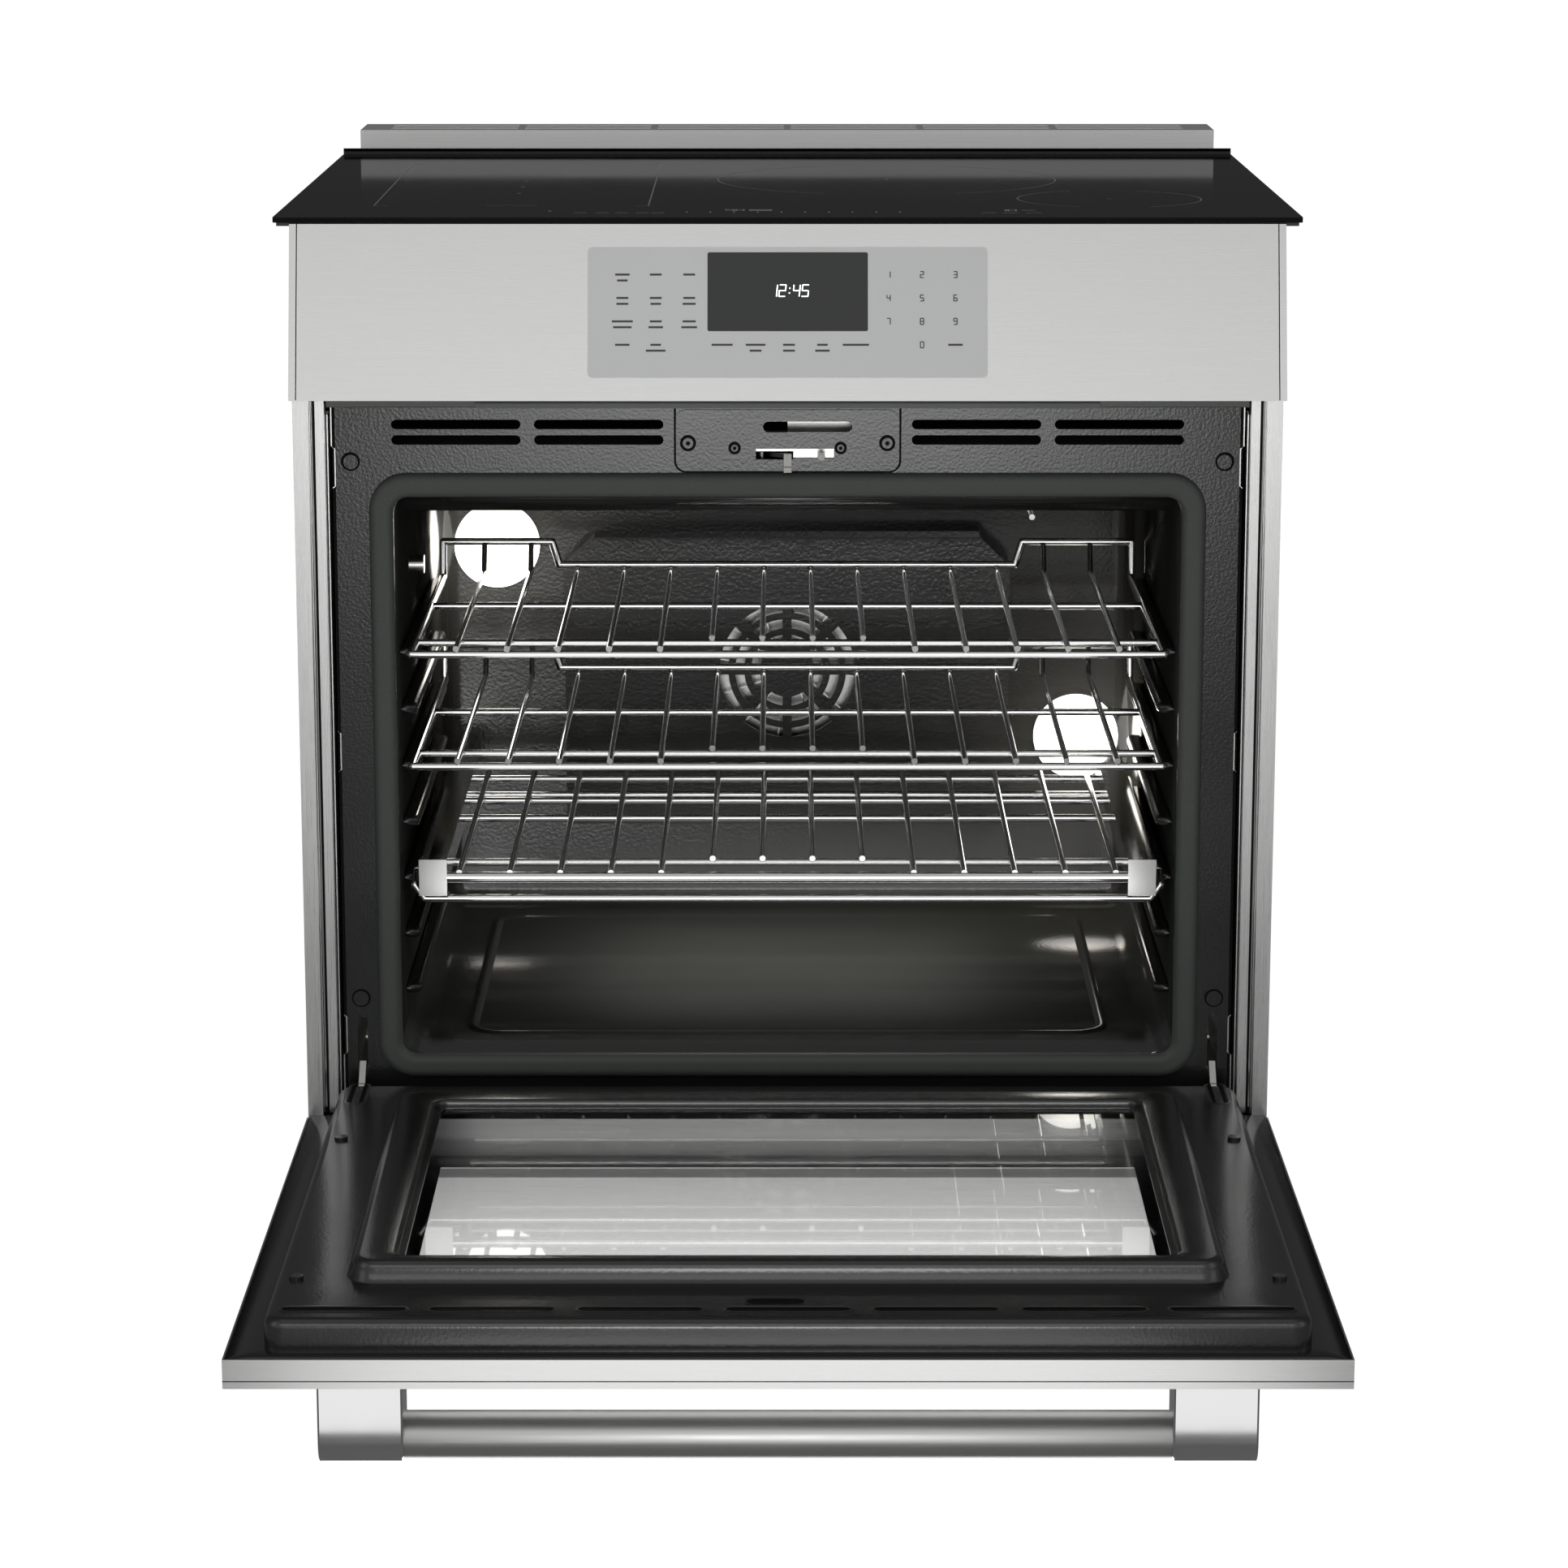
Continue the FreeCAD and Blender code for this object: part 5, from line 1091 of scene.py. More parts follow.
@dataclass
class CooktopPrint:
    """Zones and controls printed under the black glass. Distances are from the glass's middle and front edge."""

    shop: Workshop
    lift: float = 0.00006
    line_width: float = 0.0011
    big_ring: tuple[float, float, float] = (0.0826, 0.332, 0.1404)
    small_ring: tuple[float, float, float] = (0.256, 0.155, 0.073)
    zone: tuple[float, float, float, float] = (-0.324, -0.109, 0.095, 0.4825)
    gap_degrees: float = 22.0

    def build(self) -> None:
        """Draws the zones, then the row of touch controls."""
        low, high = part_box("cooktop_glass")
        self.front, self.top = low.y, high.z
        self.shop.add(printed("zone_print", self._zones(), self._lay), "body", "glass_print", "ceramic_glass")
        self.shop.add(printed("control_print", self._controls(), self._lay), "body", "bright_print", "ceramic_glass")

    def _lay(self, xy: Array) -> Array:
        """From the drawing to the glass's top face."""
        return np.stack([xy[:, 0], xy[:, 1] + self.front, np.full(len(xy), self.top + self.lift)], 1)

    def _zones(self) -> list:
        """Two broken rings, one long zone with short corner ticks, and centre marks.

        Returns:
            The marks.
        """
        marks = []
        for x, y, r in (self.big_ring, self.small_ring):
            for middle in (0, 180):
                half = 90 - self.gap_degrees
                marks.append(arc((x, y), r, middle - half, middle + half, self.line_width))
            marks.append(line((x - 0.0022, y), (x + 0.0022, y), 0.0012))
            marks.append(line((x, y - 0.0022), (x, y + 0.0022), 0.0012))
        x0, x1, y0, y1 = self.zone
        tick = 0.011
        for x, inward in ((x0, 1), (x1, -1)):
            marks.append(line((x, y0), (x, y1), self.line_width))
            marks += [line((x, y), (x + inward * tick, y), self.line_width) for y in (y0, y1)]
        middle = (x0 + x1) / 2
        marks += [dot((middle, y0 + share * (y1 - y0)), 0.0018) for share in (0.28, 0.43, 0.57, 0.9)]
        marks.append(line((middle - 0.02, y0 + 0.004), (middle + 0.02, y0 + 0.004), 0.0012))
        return marks

    def _controls(self) -> list:
        """Slider marks, plain bars for the keys and the lit figures of a power level.

        Returns:
            The marks.
        """
        y = 0.044
        marks = [line((x, y - 0.0025), (x, y + 0.0025), 0.0013) for x in np.arange(-0.078, 0.1, 0.0183)]
        for x in (-0.16, -0.143, -0.128, -0.112, -0.1):
            marks.append(line((x - 0.005, y - 0.006), (x + 0.005, y - 0.006), 0.0014))
        marks += digit("9", (-0.045, y + 0.016), 0.011, 0.0012) + digit("0", (-0.037, y + 0.016), 0.011, 0.0012)
        marks += [line((-0.03, y + 0.011 + i * 0.003), (-0.012, y + 0.011 + i * 0.003), 0.0016) for i in range(4)]
        marks += digit("1", (0.166, y + 0.014), 0.011, 0.0012) + digit("0", (0.174, y + 0.014), 0.011, 0.0012)
        marks += [line((0.181, y + 0.014), (0.192, y + 0.014), 0.0014), dot((-0.184, y + 0.008), 0.0016)]
        marks += [line((x - 0.006, y - 0.006), (x + 0.006, y - 0.006), 0.0013) for x in (0.155, 0.172, 0.19)]
        return marks


@dataclass
class TouchPrint:
    """Keys and clock on the sloping touch panel; words are drawn as plain bars."""

    shop: Workshop
    column: float = 0.0254
    row: float = 0.0179
    lift: float = 0.00008

    def build(self) -> None:
        """Draws on the slope, measured from the middle of the panel's upper edge."""
        length = math.hypot(FASCIA_DROP, FASCIA_RUN)
        self.down = np.array([0.0, -FASCIA_RUN / length, -FASCIA_DROP / length])
        self.out = np.array([0.0, -FASCIA_DROP / length, FASCIA_RUN / length])
        touch = self.shop.nodes["touch_panel"].data
        points = np.array([v.co for v in touch.vertices])
        self.face = float((points @ self.out).max())
        self.start = float((points @ self.down).min())
        self.shop.add(printed("key_print", self._keys(), self._lay), "body", "key_print", "touch_film")
        display = np.array([v.co for v in self.shop.nodes["display_window"].data.vertices])
        self.face = float((display @ self.out).max())
        self.shop.add(printed("clock_print", self._clock(), self._lay), "body", "clock_light", "display_glass")

    def _lay(self, xy: Array) -> Array:
        """From the drawing, whose second coordinate falls below the panel's upper edge, to the slope."""
        along = self.start - xy[:, 1]
        return (np.array([1.0, 0, 0]) * xy[:, :1] + self.down * along[:, None] + self.out * (self.face + self.lift))

    def _keys(self) -> list:
        """Twelve mode keys on the left, five under the display and a number pad on the right.

        Returns:
            The marks.
        """
        marks = []
        left = -0.1257
        top = -0.0212
        bars = [(0.011, 0.008), (0.009, 0), (0.009, 0), (0.009, 0.009), (0.009, 0.008), (0.009, 0.010), (0.016, 0.014),
                (0.009, 0.011), (0.010, 0.012), (0.011, 0), (0.008, 0.015)]
        for i, (first, second) in enumerate(bars):
            x, y = left + (i % 3) * self.column, top - (i // 3) * self.row
            marks.append(line((x - first / 2, y), (x + first / 2, y), 0.0016))
            if second:
                marks.append(line((x - second / 2, y - 0.0045), (x + second / 2, y - 0.0045), 0.0016))
        for i, (first, second) in enumerate([(0.016, 0), (0.015, 0.009), (0.009, 0.009), (0.008, 0.011), (0.02, 0)]):
            x, y = -0.0498 + i * self.column, top - 3 * self.row
            marks.append(line((x - first / 2, y), (x + first / 2, y), 0.0016))
            if second:
                marks.append(line((x - second / 2, y - 0.0045), (x + second / 2, y - 0.0045), 0.0016))
        for i in range(9):
            marks += digit(str(i + 1), (0.0767 + (i % 3) * self.column, top - (i // 3) * self.row), 0.0046, 0.0008)
        marks += digit("0", (0.0767 + self.column, top - 3 * self.row), 0.0046, 0.0008)
        x = 0.0767 + 2 * self.column
        marks.append(line((x - 0.0055, top - 3 * self.row), (x + 0.0055, top - 3 * self.row), 0.0016))
        return marks

    def _clock(self) -> list:
        """The time, in slanting figures.

        Returns:
            The marks.
        """
        y = -0.0335
        marks = []
        for figure, x in (("1", -0.0105), ("2", -0.0040), ("4", 0.0068), ("5", 0.0134)):
            marks += digit(figure, (x, y), 0.0088, 0.0008, 0.1)
        return marks + [dot((0.0017, y + 0.0018), 0.0005), dot((0.0013, y - 0.0018), 0.0005)]


# ------------------------------------------------------------------ the whole range
@dataclass
class KeptNodes:
    """Frame nodes that keep their shape and get a finish."""

    shop: Workshop

    def build(self) -> None:
        """Dresses every frame node."""
        for name, node in self.shop.nodes.items():
            self.shop.palette.dress(node, NODE_FINISH[name])


def rounded_rim(base: RoundRect, radius: float, inwards: bool, steps: int = 5) -> list[RoundRect]:
    """Outlines that roll a wall over into a flat face.

    The roll is a quarter circle: the outline steps inwards by one less the cosine while it climbs by the sine.

    Args:
        base: the outline at the face's height, before it is rolled.
        radius: the roll's radius.
        inwards: whether the face lies inside the wall, as on a lid, or outside it, as round a well.
        steps: outlines in the roll.

    Returns:
        The outlines from wall to face for a lid, and from face to wall for a well.
    """
    turn = np.linspace(0, math.pi / 2, steps)
    way = 1 if inwards else -1
    rim = [RoundRect(base.centre_u, base.centre_v, base.half_u - way * radius * (1 - math.cos(t)),
                     base.half_v - way * radius * (1 - math.cos(t)),
                     max(base.radius - way * radius * (1 - math.cos(t)), 0.0015),
                     base.depth - radius * (1 - math.sin(t))) for t in turn]
    return rim if inwards else rim[::-1]


def shell(piece: bpy.types.Object, thickness: float, outwards: bool) -> bpy.types.Object:
    """Gives an open skin its sheet thickness, away from the side that is seen.

    Args:
        piece: Open surface to thicken.
        thickness: Thickness of the sheet.
        outwards: Whether it grows along the normals.

    Returns:
        The same piece, thickened.
    """
    wall = piece.modifiers.new("sheet", "SOLIDIFY")
    wall.thickness = thickness
    wall.offset = 1.0 if outwards else -1.0
    return piece


@dataclass
class DoorPanel:
    """Pressed enamel panel inside the oven door, drawn with the door open."""

    shop: Workshop
    skirt_half: float = 0.354
    front_margin: float = 0.0153  # flange's front edge to the skirt
    flange_height: float = 0.0012
    face_below_plug: float = 0.015
    plug_half: float = 0.302
    plug_rear: float = 0.067  # behind the panel's rear edge
    plug_length: float = 0.421
    window_half: float = 0.2715
    window_front: float = 0.016
    window_rear: float = 0.028
    step_depth: float = 0.0046
    lip: float = 0.0055
    vent_pitch: float = 0.1002
    vent_length: float = 0.0837
    vent_width: float = 0.009
    vent_from_front: float = 0.0363
    notch_x: float = 0.338

    def build(self) -> None:
        """Makes the panel, its slots and its hinge notches."""
        low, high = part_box("door_inner_panel")
        self.low, self.high = low, high
        self.face = high.z - self.face_below_plug
        panel = self._panel()
        self.shop.add(shell(panel, 0.001, False), "door", "door_enamel", "black_enamel", "door_inner_panel")
        rims, shaded_floors = self._slots()
        self.shop.add(rims, "door", "door_enamel", "black_enamel")
        # The slot floors are painted shade.
        self.shop.add(shaded_floors, "door", "painted_shade_black", "black_enamel")

    def _rect(self, half: float, rear: float, front: float, radius: float, depth: float) -> RoundRect:
        """An outline between two Y values, centred across the door."""
        return RoundRect(0.0, (rear + front) / 2, half, (rear - front) / 2, radius, depth)

    def _panel(self) -> bpy.types.Object:
        """Flange, rolled pan, rolled plug and stepped window edge, as one skin through rounded outlines.

        Returns:
            The panel.
        """
        low, high, face = self.low, self.high, self.face
        flange = low.z + self.flange_height
        front = low.y + self.front_margin
        plug_rear = high.y - self.plug_rear
        plug_front = plug_rear - self.plug_length
        window_rear, window_front = plug_rear - self.window_rear, plug_front + self.window_front
        loops = [self._rect(high.x, high.y - 0.004, low.y, 0.004, flange),
                 self._rect(self.skirt_half, high.y, front, 0.012, flange + 0.0004)]
        loops += rounded_rim(self._rect(self.skirt_half, high.y, front, 0.014, face), 0.0065, True)
        foot = self._rect(self.plug_half + 0.0035, plug_rear + 0.0035, plug_front - 0.0035, 0.020, face)
        loops += [self._rect(self.plug_half + 0.006, plug_rear + 0.006, plug_front - 0.006, 0.022, face), foot,
                  self._rect(self.plug_half + 0.0012, plug_rear + 0.0012, plug_front - 0.0012, 0.018, face + 0.003)]
        loops += rounded_rim(self._rect(self.plug_half, plug_rear, plug_front, 0.017, high.z), 0.006, True)
        loops += rounded_rim(self._rect(self.window_half, window_rear, window_front, 0.010, high.z), 0.003, False)
        step = high.z - self.step_depth
        loops += [self._rect(self.window_half, window_rear, window_front, 0.010, step),
                  self._rect(self.window_half - self.lip, window_rear - self.lip, window_front + self.lip, 0.008, step),
                  self._rect(self.window_half - self.lip, window_rear - self.lip, window_front + self.lip, 0.008,
                             step - 0.001)]
        return loft("door_panel_pressed", loops, Facing.UP)

    def _slots(self) -> tuple[bpy.types.Object, bpy.types.Object]:
        """Seven cooling slots, the latch slot and two hinge notches: a low rolled lip round a near-black floor of
        painted shade.

        Returns:
            The lips and the painted shade floors.
        """
        face = self.face
        v = self.low.y + self.vent_from_front
        holes = [(i * self.vent_pitch, v, self.vent_length / 2, self.vent_width / 2) for i in range(-3, 4)]
        holes.append((-0.0085, v + 0.0165, 0.0195, 0.006))
        latch_slot = len(holes) - 1
        holes += [(side * self.notch_x, self.high.y - 0.027, 0.006, 0.027) for side in (-1, 1)]
        rims, shaded_floors = [], []
        for i, (x, y, half_u, half_v) in enumerate(holes):
            roll = 0.4 if i >= latch_slot else 1.0
            r = min(half_u, half_v) - 0.0002
            lips = [RoundRect(x, y, half_u + out, half_v + out, r + out, face + roll * rise)
                    for out, rise in ((0.0026, 0.0001), (0.0014, 0.0009), (0.0004, 0.0009), (0.0, 0.0003))]
            rims.append(loft(f"lip_{i}", lips, Facing.UP))
            # Each floor is a near-black sheet just over the face: painted shade where the slot opens into the door.
            sheets = [(x, half_u)] if i <= latch_slot else [(x - 0.0044, 0.0015), (x + 0.0044, 0.0015)]
            for j, (middle, half) in enumerate(sheets):
                corner = min(r, half - 0.0001)
                edge = RoundRect(middle, y, half, half_v, corner, face + 0.0001)
                inner = RoundRect(middle, y, half * 0.8, half_v - 0.001, corner * 0.8, face + 0.0001)
                shaded_floors.append(loft(f"floor_{i}_{j}", [edge, inner], Facing.UP, cap_last=True))
        return merged("door_panel_slots", rims), merged("door_panel_slot_shade", shaded_floors)


@dataclass
class CavityLiner:
    """Pressed oven cavity with round corners, an embossed floor and ribs that carry the racks."""

    shop: Workshop
    sheet: float = 0.0012
    corner: float = 0.02
    rear_roll: float = 0.014
    bead_side: float = 0.045
    bead_width: float = 0.010
    bead_rise: float = 0.0026
    levels: int = 7
    rib_half_height: float = 0.0042
    rib_ends: tuple[tuple[float, float], ...] = (  # share of the length, share of the full section
        (0.0, 0.25), (0.004, 0.7), (0.012, 0.93), (0.03, 1.0), (0.97, 1.0), (0.99, 0.9), (1.0, 0.4))

    def build(self) -> None:
        """Makes the cavity skin, the floor bead and the side ribs."""
        low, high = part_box("oven_liner")
        t = self.sheet
        centre_v, half_v = (low.z + high.z) / 2, (high.z - low.z) / 2 - t
        mouth = RoundRect(0.0, centre_v, high.x - t, half_v, self.corner, low.y)
        rear = high.y - t
        loops = [mouth]
        for turn in np.linspace(0, math.pi / 2, 6):
            inset = self.rear_roll * (1 - math.cos(turn))
            loops.append(RoundRect(0.0, centre_v, mouth.half_u - inset, half_v - inset, max(self.corner - inset, 0.004),
                                   rear - self.rear_roll * (1 - math.sin(turn))))
        skin = loft("cavity_skin", loops, Facing.FRONT, cap_last=True)
        skin.data.flip_normals()
        self.shop.add(shell(skin, t, False), "body", "cavity_enamel", "black_enamel", "oven_liner")
        self.shop.add(self._bead(low.z + t, low.y, rear, mouth.half_u), "body", "cavity_enamel", "black_enamel")
        for side, name in ((-1, "rack_guide_left"), (1, "rack_guide_right")):
            self.shop.add(self._ribs(side, name), "body", "cavity_enamel", "black_enamel", name)

    def _bead(self, floor: float, front: float, rear: float, half: float) -> bpy.types.Object:
        """A low round-cornered bead on the floor: its height over its width is a half sine.

        Args:
            floor: Height of the cavity floor.
            front: Where the bead starts.
            rear: Where the bead ends.
            half: Half of its width.

        Returns:
            The bead.
        """
        y0, y1 = front + self.bead_side + 0.01, rear - self.bead_side
        loops = []
        for share in np.linspace(0, 1, 7):
            inset = share * self.bead_width
            loops.append(RoundRect(0.0, (y0 + y1) / 2, half - self.bead_side - inset, (y1 - y0) / 2 - inset,
                                   0.03 - inset, floor - 0.0002 + self.bead_rise * math.sin(math.pi * share)))
        return loft("cavity_floor_bead", loops, Facing.UP)

    def _ribs(self, side: int, node: str) -> bpy.types.Object:
        """Ledges with rounded noses: a rounded bar whose section shrinks towards both ends as a quarter circle does.

        Args:
            side: Minus one for left, one for right.
            node: Guide whose ribs are drawn.

        Returns:
            The joined ribs.
        """
        low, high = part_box(node)
        pitch = (high.z - low.z - 0.014 + 0.0047) / (self.levels - 1)
        first = low.z + 0.012 - 0.0037 - self.rib_half_height
        half_u = (high.x - low.x) / 2
        centre_u = (low.x + high.x) / 2
        bars = []
        for level in range(self.levels):
            z = first + level * pitch
            loops = []
            for share, scale in self.rib_ends:
                loops.append(RoundRect(centre_u + side * half_u * (1 - scale), z, half_u * scale,
                                       self.rib_half_height * scale, self.rib_half_height * scale * 0.95,
                                       low.y + share * (high.y - low.y)))
            bars.append(loft(f"rib_{level}", loops, Facing.FRONT, cap_first=True, cap_last=True))
        return merged(f"{node}_ribs", bars)


@dataclass
class Handle:
    """Round bar between two polished brackets that wrap its ends, drawn with the door open."""

    shop: Workshop
    chamfer: float = 0.0014
    arc_steps: int = 33
    bar_sides: int = 72

    def build(self) -> None:
        """Makes the bar, then both brackets."""
        low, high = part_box("handle_bar")
        radius = (high.z - low.z) / 2
        ends = [(radius - 0.0001, low.x), (radius, low.x + 0.0004), (radius, high.x - 0.0004),
                (radius - 0.0001, high.x)]
        axis = Vector((0.0, (low.y + high.y) / 2, (low.z + high.z) / 2))
        bar = revolve("handle_round_bar", ends, axis, "X", self.bar_sides)
        self.shop.add(bar, "door", "stainless_bar", "stainless", "handle_bar")
        outer_low, outer_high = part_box("handle_brackets")
        pair = [self._bracket(side, axis, outer_low, outer_high, high.x) for side in (-1, 1)]
        self.shop.add(merged("handle_wrapped_brackets", pair), "door", "polished_steel", "polished_steel",
                      "handle_brackets")

    def _outline(self, axis: Vector, radius: float, top: float) -> Array:
        """Section across the bar: straight sides down to the axis, then a half circle below it.

        Args:
            axis: Middle of the bar.
            radius: Radius of the wrap.
            top: Height of the flat upper end.

        Returns:
            The outline, one point per row.
        """
        turn = np.linspace(0, math.pi, self.arc_steps)
        round_part = np.stack([axis.y + radius * np.cos(turn), axis.z - radius * np.sin(turn)], 1)
        return np.concatenate([[[axis.y + radius, top]], round_part, [[axis.y - radius, top]]])

    def _bracket(self, side: int, axis: Vector, low: Vector, high: Vector, bar_end: float) -> bpy.types.Object:
        """The section carried along the bar, drawn in by the chamfer at both ends.

        Args:
            side: Minus one for left, one for right.
            axis: Middle of the bar.
            low: Low corner of the brackets.
            high: High corner of the brackets.
            bar_end: Where the bar ends.

        Returns:
            The bracket.
        """
        radius = (high.y - low.y) / 2
        c = self.chamfer
        stations = [(bar_end, c), (bar_end + c, 0.0), (high.x - c, 0.0), (high.x, c)]
        loops = []
        for x, inset in stations if side > 0 else [(-x, inset) for x, inset in stations[::-1]]:
            section = self._outline(axis, radius - inset, high.z)
            loops.append(np.concatenate([np.full((len(section), 1), x), section], 1))
        count = len(loops[0])
        faces = grid_faces(len(loops), count, close_columns=True).tolist()
        last = (len(loops) - 1) * count
        faces += [list(range(count))[::-1], list(range(last, last + count))]
        return mesh_piece(f"bracket_{side}", np.concatenate(loops), faces, 20.0)


@dataclass
class FrontDetails:
    """Seams, screw rings and edge lines on the front of the body; the dark ones are painted shade in gaps, seams and
    recesses.
    """

    shop: Workshop
    lift: float = 0.00015
    clip_tabs: tuple[float, ...] = (0.72, 0.495, 0.265)  # heights of the tabs' middles
    clip_x: float = 0.3529
    clip_tab_x: float = 0.3504
    clip_tab_half: float = 0.0165
    clip_tab_flat: float = 0.0145
    # Painted shade down the gap between the oven frame and each post.
    edge_shade_x: float = 0.3518
    edge_shade_width: float = 0.0034
    step_back: float = 0.012  # from a post's face to its step
    # Painted shadow down each post's step.
    step_shadow_x: float = 0.3654
    step_shadow_width: float = 0.0036
    step_trim_x: float = 0.3660
    step_trim_width: float = 0.0012
    post_line_top: float = 0.7785
    seam_from_end: float = 0.0057
    outer_screw: tuple[float, float] = (0.077, 0.7393)
    inner_screw: tuple[float, float] = (0.041, 0.7355)

    def build(self) -> None:
        """Draws the latch plate's gap as a painted shadow line, rings of painted shade round buttons and screws, the
        rear rail's lip and the door's bead.
        """
        frame_low, frame_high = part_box("oven_front_frame")
        self.frame_low, self.frame_high = frame_low, frame_high
        plate_low, plate_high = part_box("latch_plate")
        self.front = frame_low.y - self.lift
        # The plate's outline is a painted shadow line.
        self.shop.add(printed("latch_plate_shadow_line", self._gap_shadow_line(plate_low, plate_high), self._upright), "body", "painted_shade_black",
                      "black_enamel")
        self.shop.add(self._shade_rings(plate_low), "body", "painted_shade_black", "black_enamel")
        self.shop.add(self._rail_lip(), "body", "stainless_across", "stainless")
        (outer_x, outer_z), (inner_x, inner_z) = self.outer_screw, self.inner_screw
        # Dark discs in the latch plate's screw recesses: painted shade.
        shaded_recesses = [dot((side * outer_x, outer_z), 0.0017) for side in (-1, 1)]
        shaded_recesses += [dot((side * inner_x, inner_z), 0.0014) for side in (-1, 1)]
        face = plate_low.y - self.lift
        self.shop.add(printed("latch_screw_recess_shade", shaded_recesses,
                              lambda xy: np.stack([xy[:, 0], np.full(len(xy), face), xy[:, 1]], 1)),
                      "body", "painted_shade_black", "black_enamel")
        self._latch_back(plate_high.y)
        self._mouth_lip()
        self._post_lines()
        self._fascia_seams()
        self.shop.add(self._door_groove(), "door", "painted_shade_black", "stainless")

    def _upright(self, xy: Array) -> Array:
        """From the drawing to the oven frame's face."""
        return np.stack([xy[:, 0], np.full(len(xy), self.front), xy[:, 1]], 1)

    def _gap_shadow_line(self, low: Vector, high: Vector) -> list:
        """A painted shadow line round the plate's two sides and bottom, with round corners.

        Args:
            low: Low corner of the outline.
            high: High corner of the outline.

        Returns:
            The marks.
        """
        out, r = 0.0008, 0.0085
        x0, x1, z0, z1 = low.x - out, high.x + out, low.z - out, high.z + 0.004
        turn = np.radians(np.linspace(0, 90, 9))
        left = np.stack([x0 + r - r * np.cos(turn), z0 + r - r * np.sin(turn)], 1)
        right = np.stack([x1 - r + r * np.sin(turn), z0 + r - r * np.cos(turn)], 1)
        return [stroke(np.concatenate([[[x0, z1]], left, right, [[x1, z1]]]), 0.0017)]

    def _mouth_lip(self) -> None:
        """Rolled face on the lip under the mouth's top: its bulge is a half sine of the height."""
        low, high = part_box("oven_liner")
        face, bottom, top, half = low.y + 0.0066, high.z - 0.0212, high.z - 0.0014, 0.3008
        share = np.linspace(0, 1, 13)
        across = np.linspace(-half, half, 3)
        z, x = np.meshgrid(bottom + share * (top - bottom), across, indexing="ij")
        bulge = 0.007 * np.sin(np.pi * share)[:, None] * np.ones_like(x)
        points = np.stack([x, face - bulge, z], -1).reshape(-1, 3)
        piece = mesh_piece("mouth_lip_roll", points, grid_faces(13, 3))
        self.shop.add(shell(piece, 0.0008, False), "body", "cavity_enamel", "black_enamel")

    def _latch_back(self, rear: float) -> None:
        """Bright mounting sheet seen through the latch opening, cut away where the hook turns.

        Args:
            rear: Depth of the sheet.
        """
        y = rear + 0.005
        strips = [line((0.0045, 0.7305), (0.0375, 0.7305), 0.012), line((-0.0255, 0.7345), (0.0045, 0.7345), 0.005)]
        piece = printed("latch_back_sheet", strips,
                        lambda xy: np.stack([xy[:, 0], np.full(len(xy), y), xy[:, 1]], 1))
        self.shop.add(piece, "body", "zinc", "zinc")

    def _post_lines(self) -> None:
        """Painted shadow and trim edge down each post's step, and a painted shade gap and the clip strip beside the
        oven frame.
        """
        post_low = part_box("front_post_left")[0]
        step = post_low.y + self.step_back
        bottom, top = post_low.z + 0.001, self.post_line_top
        step_shadows, trims, clips = [], [], []
        for side in (-1, 1):
            shadow_x, trim_x = side * self.step_shadow_x, side * self.step_trim_x
            # Dark ribbon down each post's step: painted shadow.
            step_shadows.append(line((shadow_x, bottom), (shadow_x, top), self.step_shadow_width))
            trims.append(line((trim_x, bottom), (trim_x, top), self.step_trim_width))
            path = [(self.clip_x, self.frame_low.z)]
            for middle in self.clip_tabs:
                path += [(self.clip_x, middle - self.clip_tab_half), (self.clip_tab_x, middle - self.clip_tab_flat),
                         (self.clip_tab_x, middle + self.clip_tab_flat), (self.clip_x, middle + self.clip_tab_half)]
            path.append((self.clip_x, self.frame_high.z))
            clips.append(stroke(np.array([(side * x, z) for x, z in path]), 0.0009))

        def on_step(out: float) -> Callable[[Array], Array]:
            """Lays a drawing on the post's step."""
            return lambda xy: np.stack([xy[:, 0], np.full(len(xy), step - out), xy[:, 1]], 1)

        self.shop.add(printed("post_step_shadows", step_shadows, on_step(self.lift)), "body", "painted_shade_black", "stainless")
        self.shop.add(printed("post_step_trims", trims, on_step(2 * self.lift)), "body", "polished_steel", "stainless")
        # Dark ribbons in the gap beside the oven frame: painted shade.
        x = self.edge_shade_x
        edges = [line((side * x, self.frame_low.z), (side * x, self.frame_high.z), self.edge_shade_width)
                 for side in (-1, 1)]
        self.shop.add(printed("frame_edge_shade", edges, self._upright), "body", "painted_shade_black", "black_enamel")
        front = self.front - self.lift
        self.shop.add(printed("frame_clip_strips", clips,
                              lambda xy: np.stack([xy[:, 0], np.full(len(xy), front), xy[:, 1]], 1)),
                      "body", "zinc", "zinc")

    def _fascia_seams(self) -> None:
        """A painted shade line down each end of the sloping fascia, where its end strip is folded."""
        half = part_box("fascia_panel")[1].x
        points = np.array([v.co for v in self.shop.nodes["fascia_panel"].data.vertices])
        length = math.hypot(FASCIA_DROP, FASCIA_RUN)
        down = np.array([0.0, -FASCIA_RUN / length, -FASCIA_DROP / length])
        out = np.array([0.0, -FASCIA_DROP / length, FASCIA_RUN / length])
        face = float((points @ out).max()) + self.lift
        start, end = float((points @ down).min()), float((points @ down).max())
        x = half - self.seam_from_end
        # Dark line at each fold: painted shade.
        seams = [line((side * x, start + 0.002), (side * x, end - 0.0005), 0.0008) for side in (-1, 1)]
        piece = printed("fascia_end_seam_shade", seams,
                        lambda xy: np.array([1.0, 0, 0]) * xy[:, :1] + down * xy[:, 1:] + out * face)
        self.shop.add(piece, "body", "painted_shade_black", "stainless")

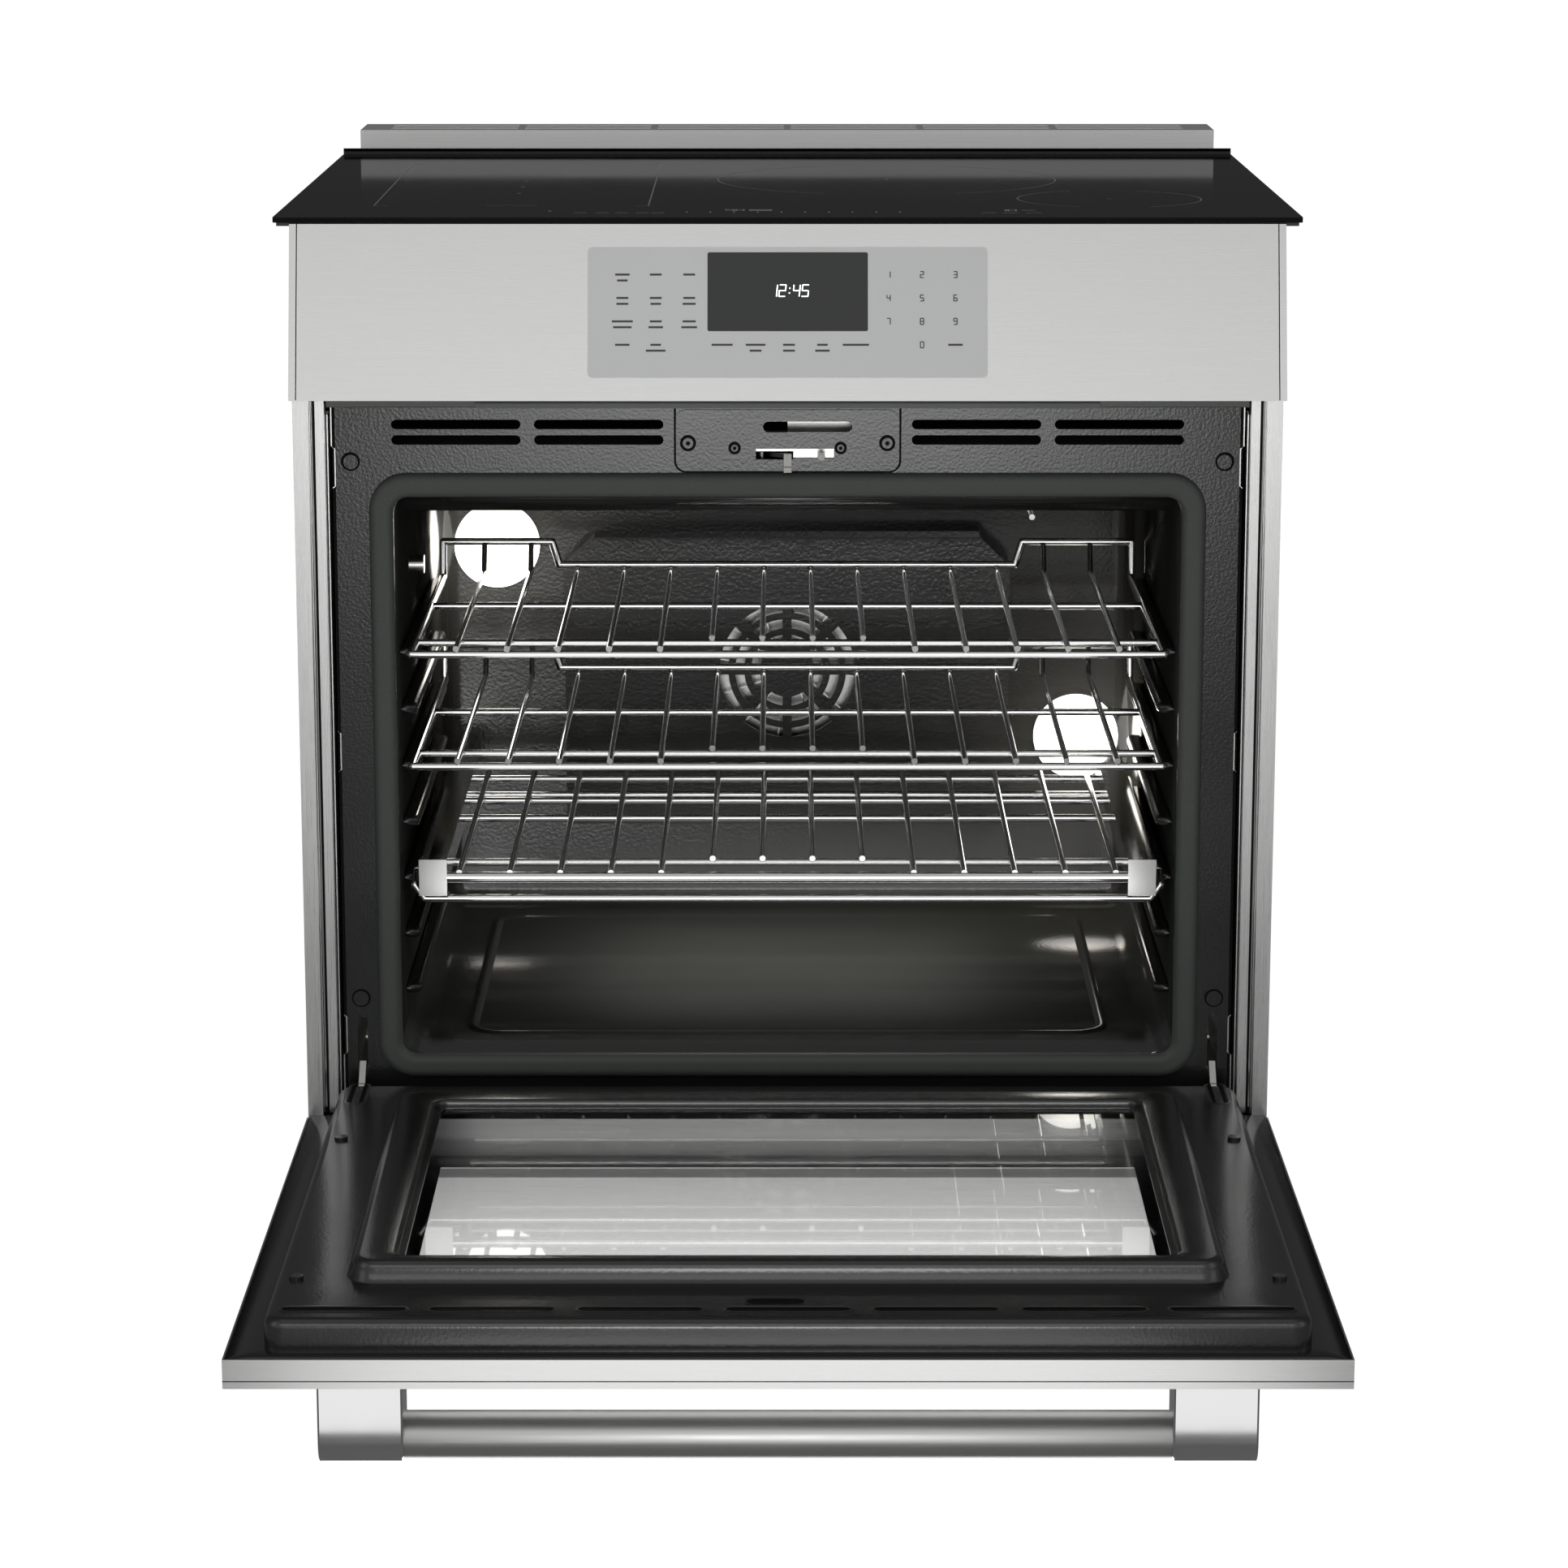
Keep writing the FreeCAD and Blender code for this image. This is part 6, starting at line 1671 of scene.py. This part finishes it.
    def _shade_rings(self, plate: Vector) -> bpy.types.Object:
        """Dark rings of painted shade: four on the latch plate and one round each button and screw of the frame.

        Args:
            plate: Point on the latch plate's face.

        Returns:
            The joined rings.
        """
        low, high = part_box("frame_screws")
        (outer_x, outer_z), (inner_x, inner_z) = self.outer_screw, self.inner_screw
        spots = [(side * outer_x, outer_z, 0.0062, plate.y) for side in (-1, 1)]
        spots += [(side * inner_x, inner_z, 0.0048, plate.y) for side in (-1, 1)]
        spots += [(side * (high.x - 0.006), z, 0.0074, self.front) for side in (-1, 1)
                  for z in (low.z + 0.006, high.z - 0.0056)]
        rings = []
        for i, (x, z, r, y) in enumerate(spots):
            profile = [(r, 0.0), (r - 0.0004, -0.0004), (r - 0.0017, -0.0004), (r - 0.0021, 0.0)]
            rings.append(revolve(f"ring_{i}", profile, Vector((x, y, z)), "Y"))
        return merged("frame_shade_rings", rings)

    def _rail_lip(self) -> bpy.types.Object:
        """Bright folded edge along the top of the rail behind the glass.

        Returns:
            The lip.
        """
        low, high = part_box("cooktop_rear_rail")
        centre, half = (low.y + high.y) / 2, (high.y - low.y) / 2
        loops = [RoundRect(0.0, centre, high.x - e, half - e, 0.0008, high.z - 0.0026 + z)
                 for e, z in ((0.0, 0.0), (0.0, 0.0022), (0.0004, 0.0026))]
        return loft("rear_rail_lip", loops, Facing.UP, cap_last=True)

    def _door_groove(self) -> bpy.types.Object:
        """Shadow line above the bead along the door's end, seen with the door open.

        Returns:
            The groove.
        """
        low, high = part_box("door_skin")
        z = low.z + 0.0052
        return printed("door_end_groove", [line((low.x, z), (high.x, z), 0.0007)],
                       lambda xy: np.stack([xy[:, 0], np.full(len(xy), low.y - 0.00005), xy[:, 1]], 1))


def main() -> None:
    """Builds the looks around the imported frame."""
    logging.basicConfig(level=logging.INFO, format="%(name)s: %(message)s")
    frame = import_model()
    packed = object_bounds()
    shop = Workshop(frame["nodes"], Palette(GroupMaker()))
    Studio().build(packed[0])
    OvenLamps().build()
    KeptNodes(shop).build()
    DoorPanel(shop).build()
    CavityLiner(shop).build()
    Handle(shop).build()
    FrontDetails(shop).build()
    CooktopPrint(shop).build()
    TouchPrint(shop).build()


if __name__ == "__main__":
    main()
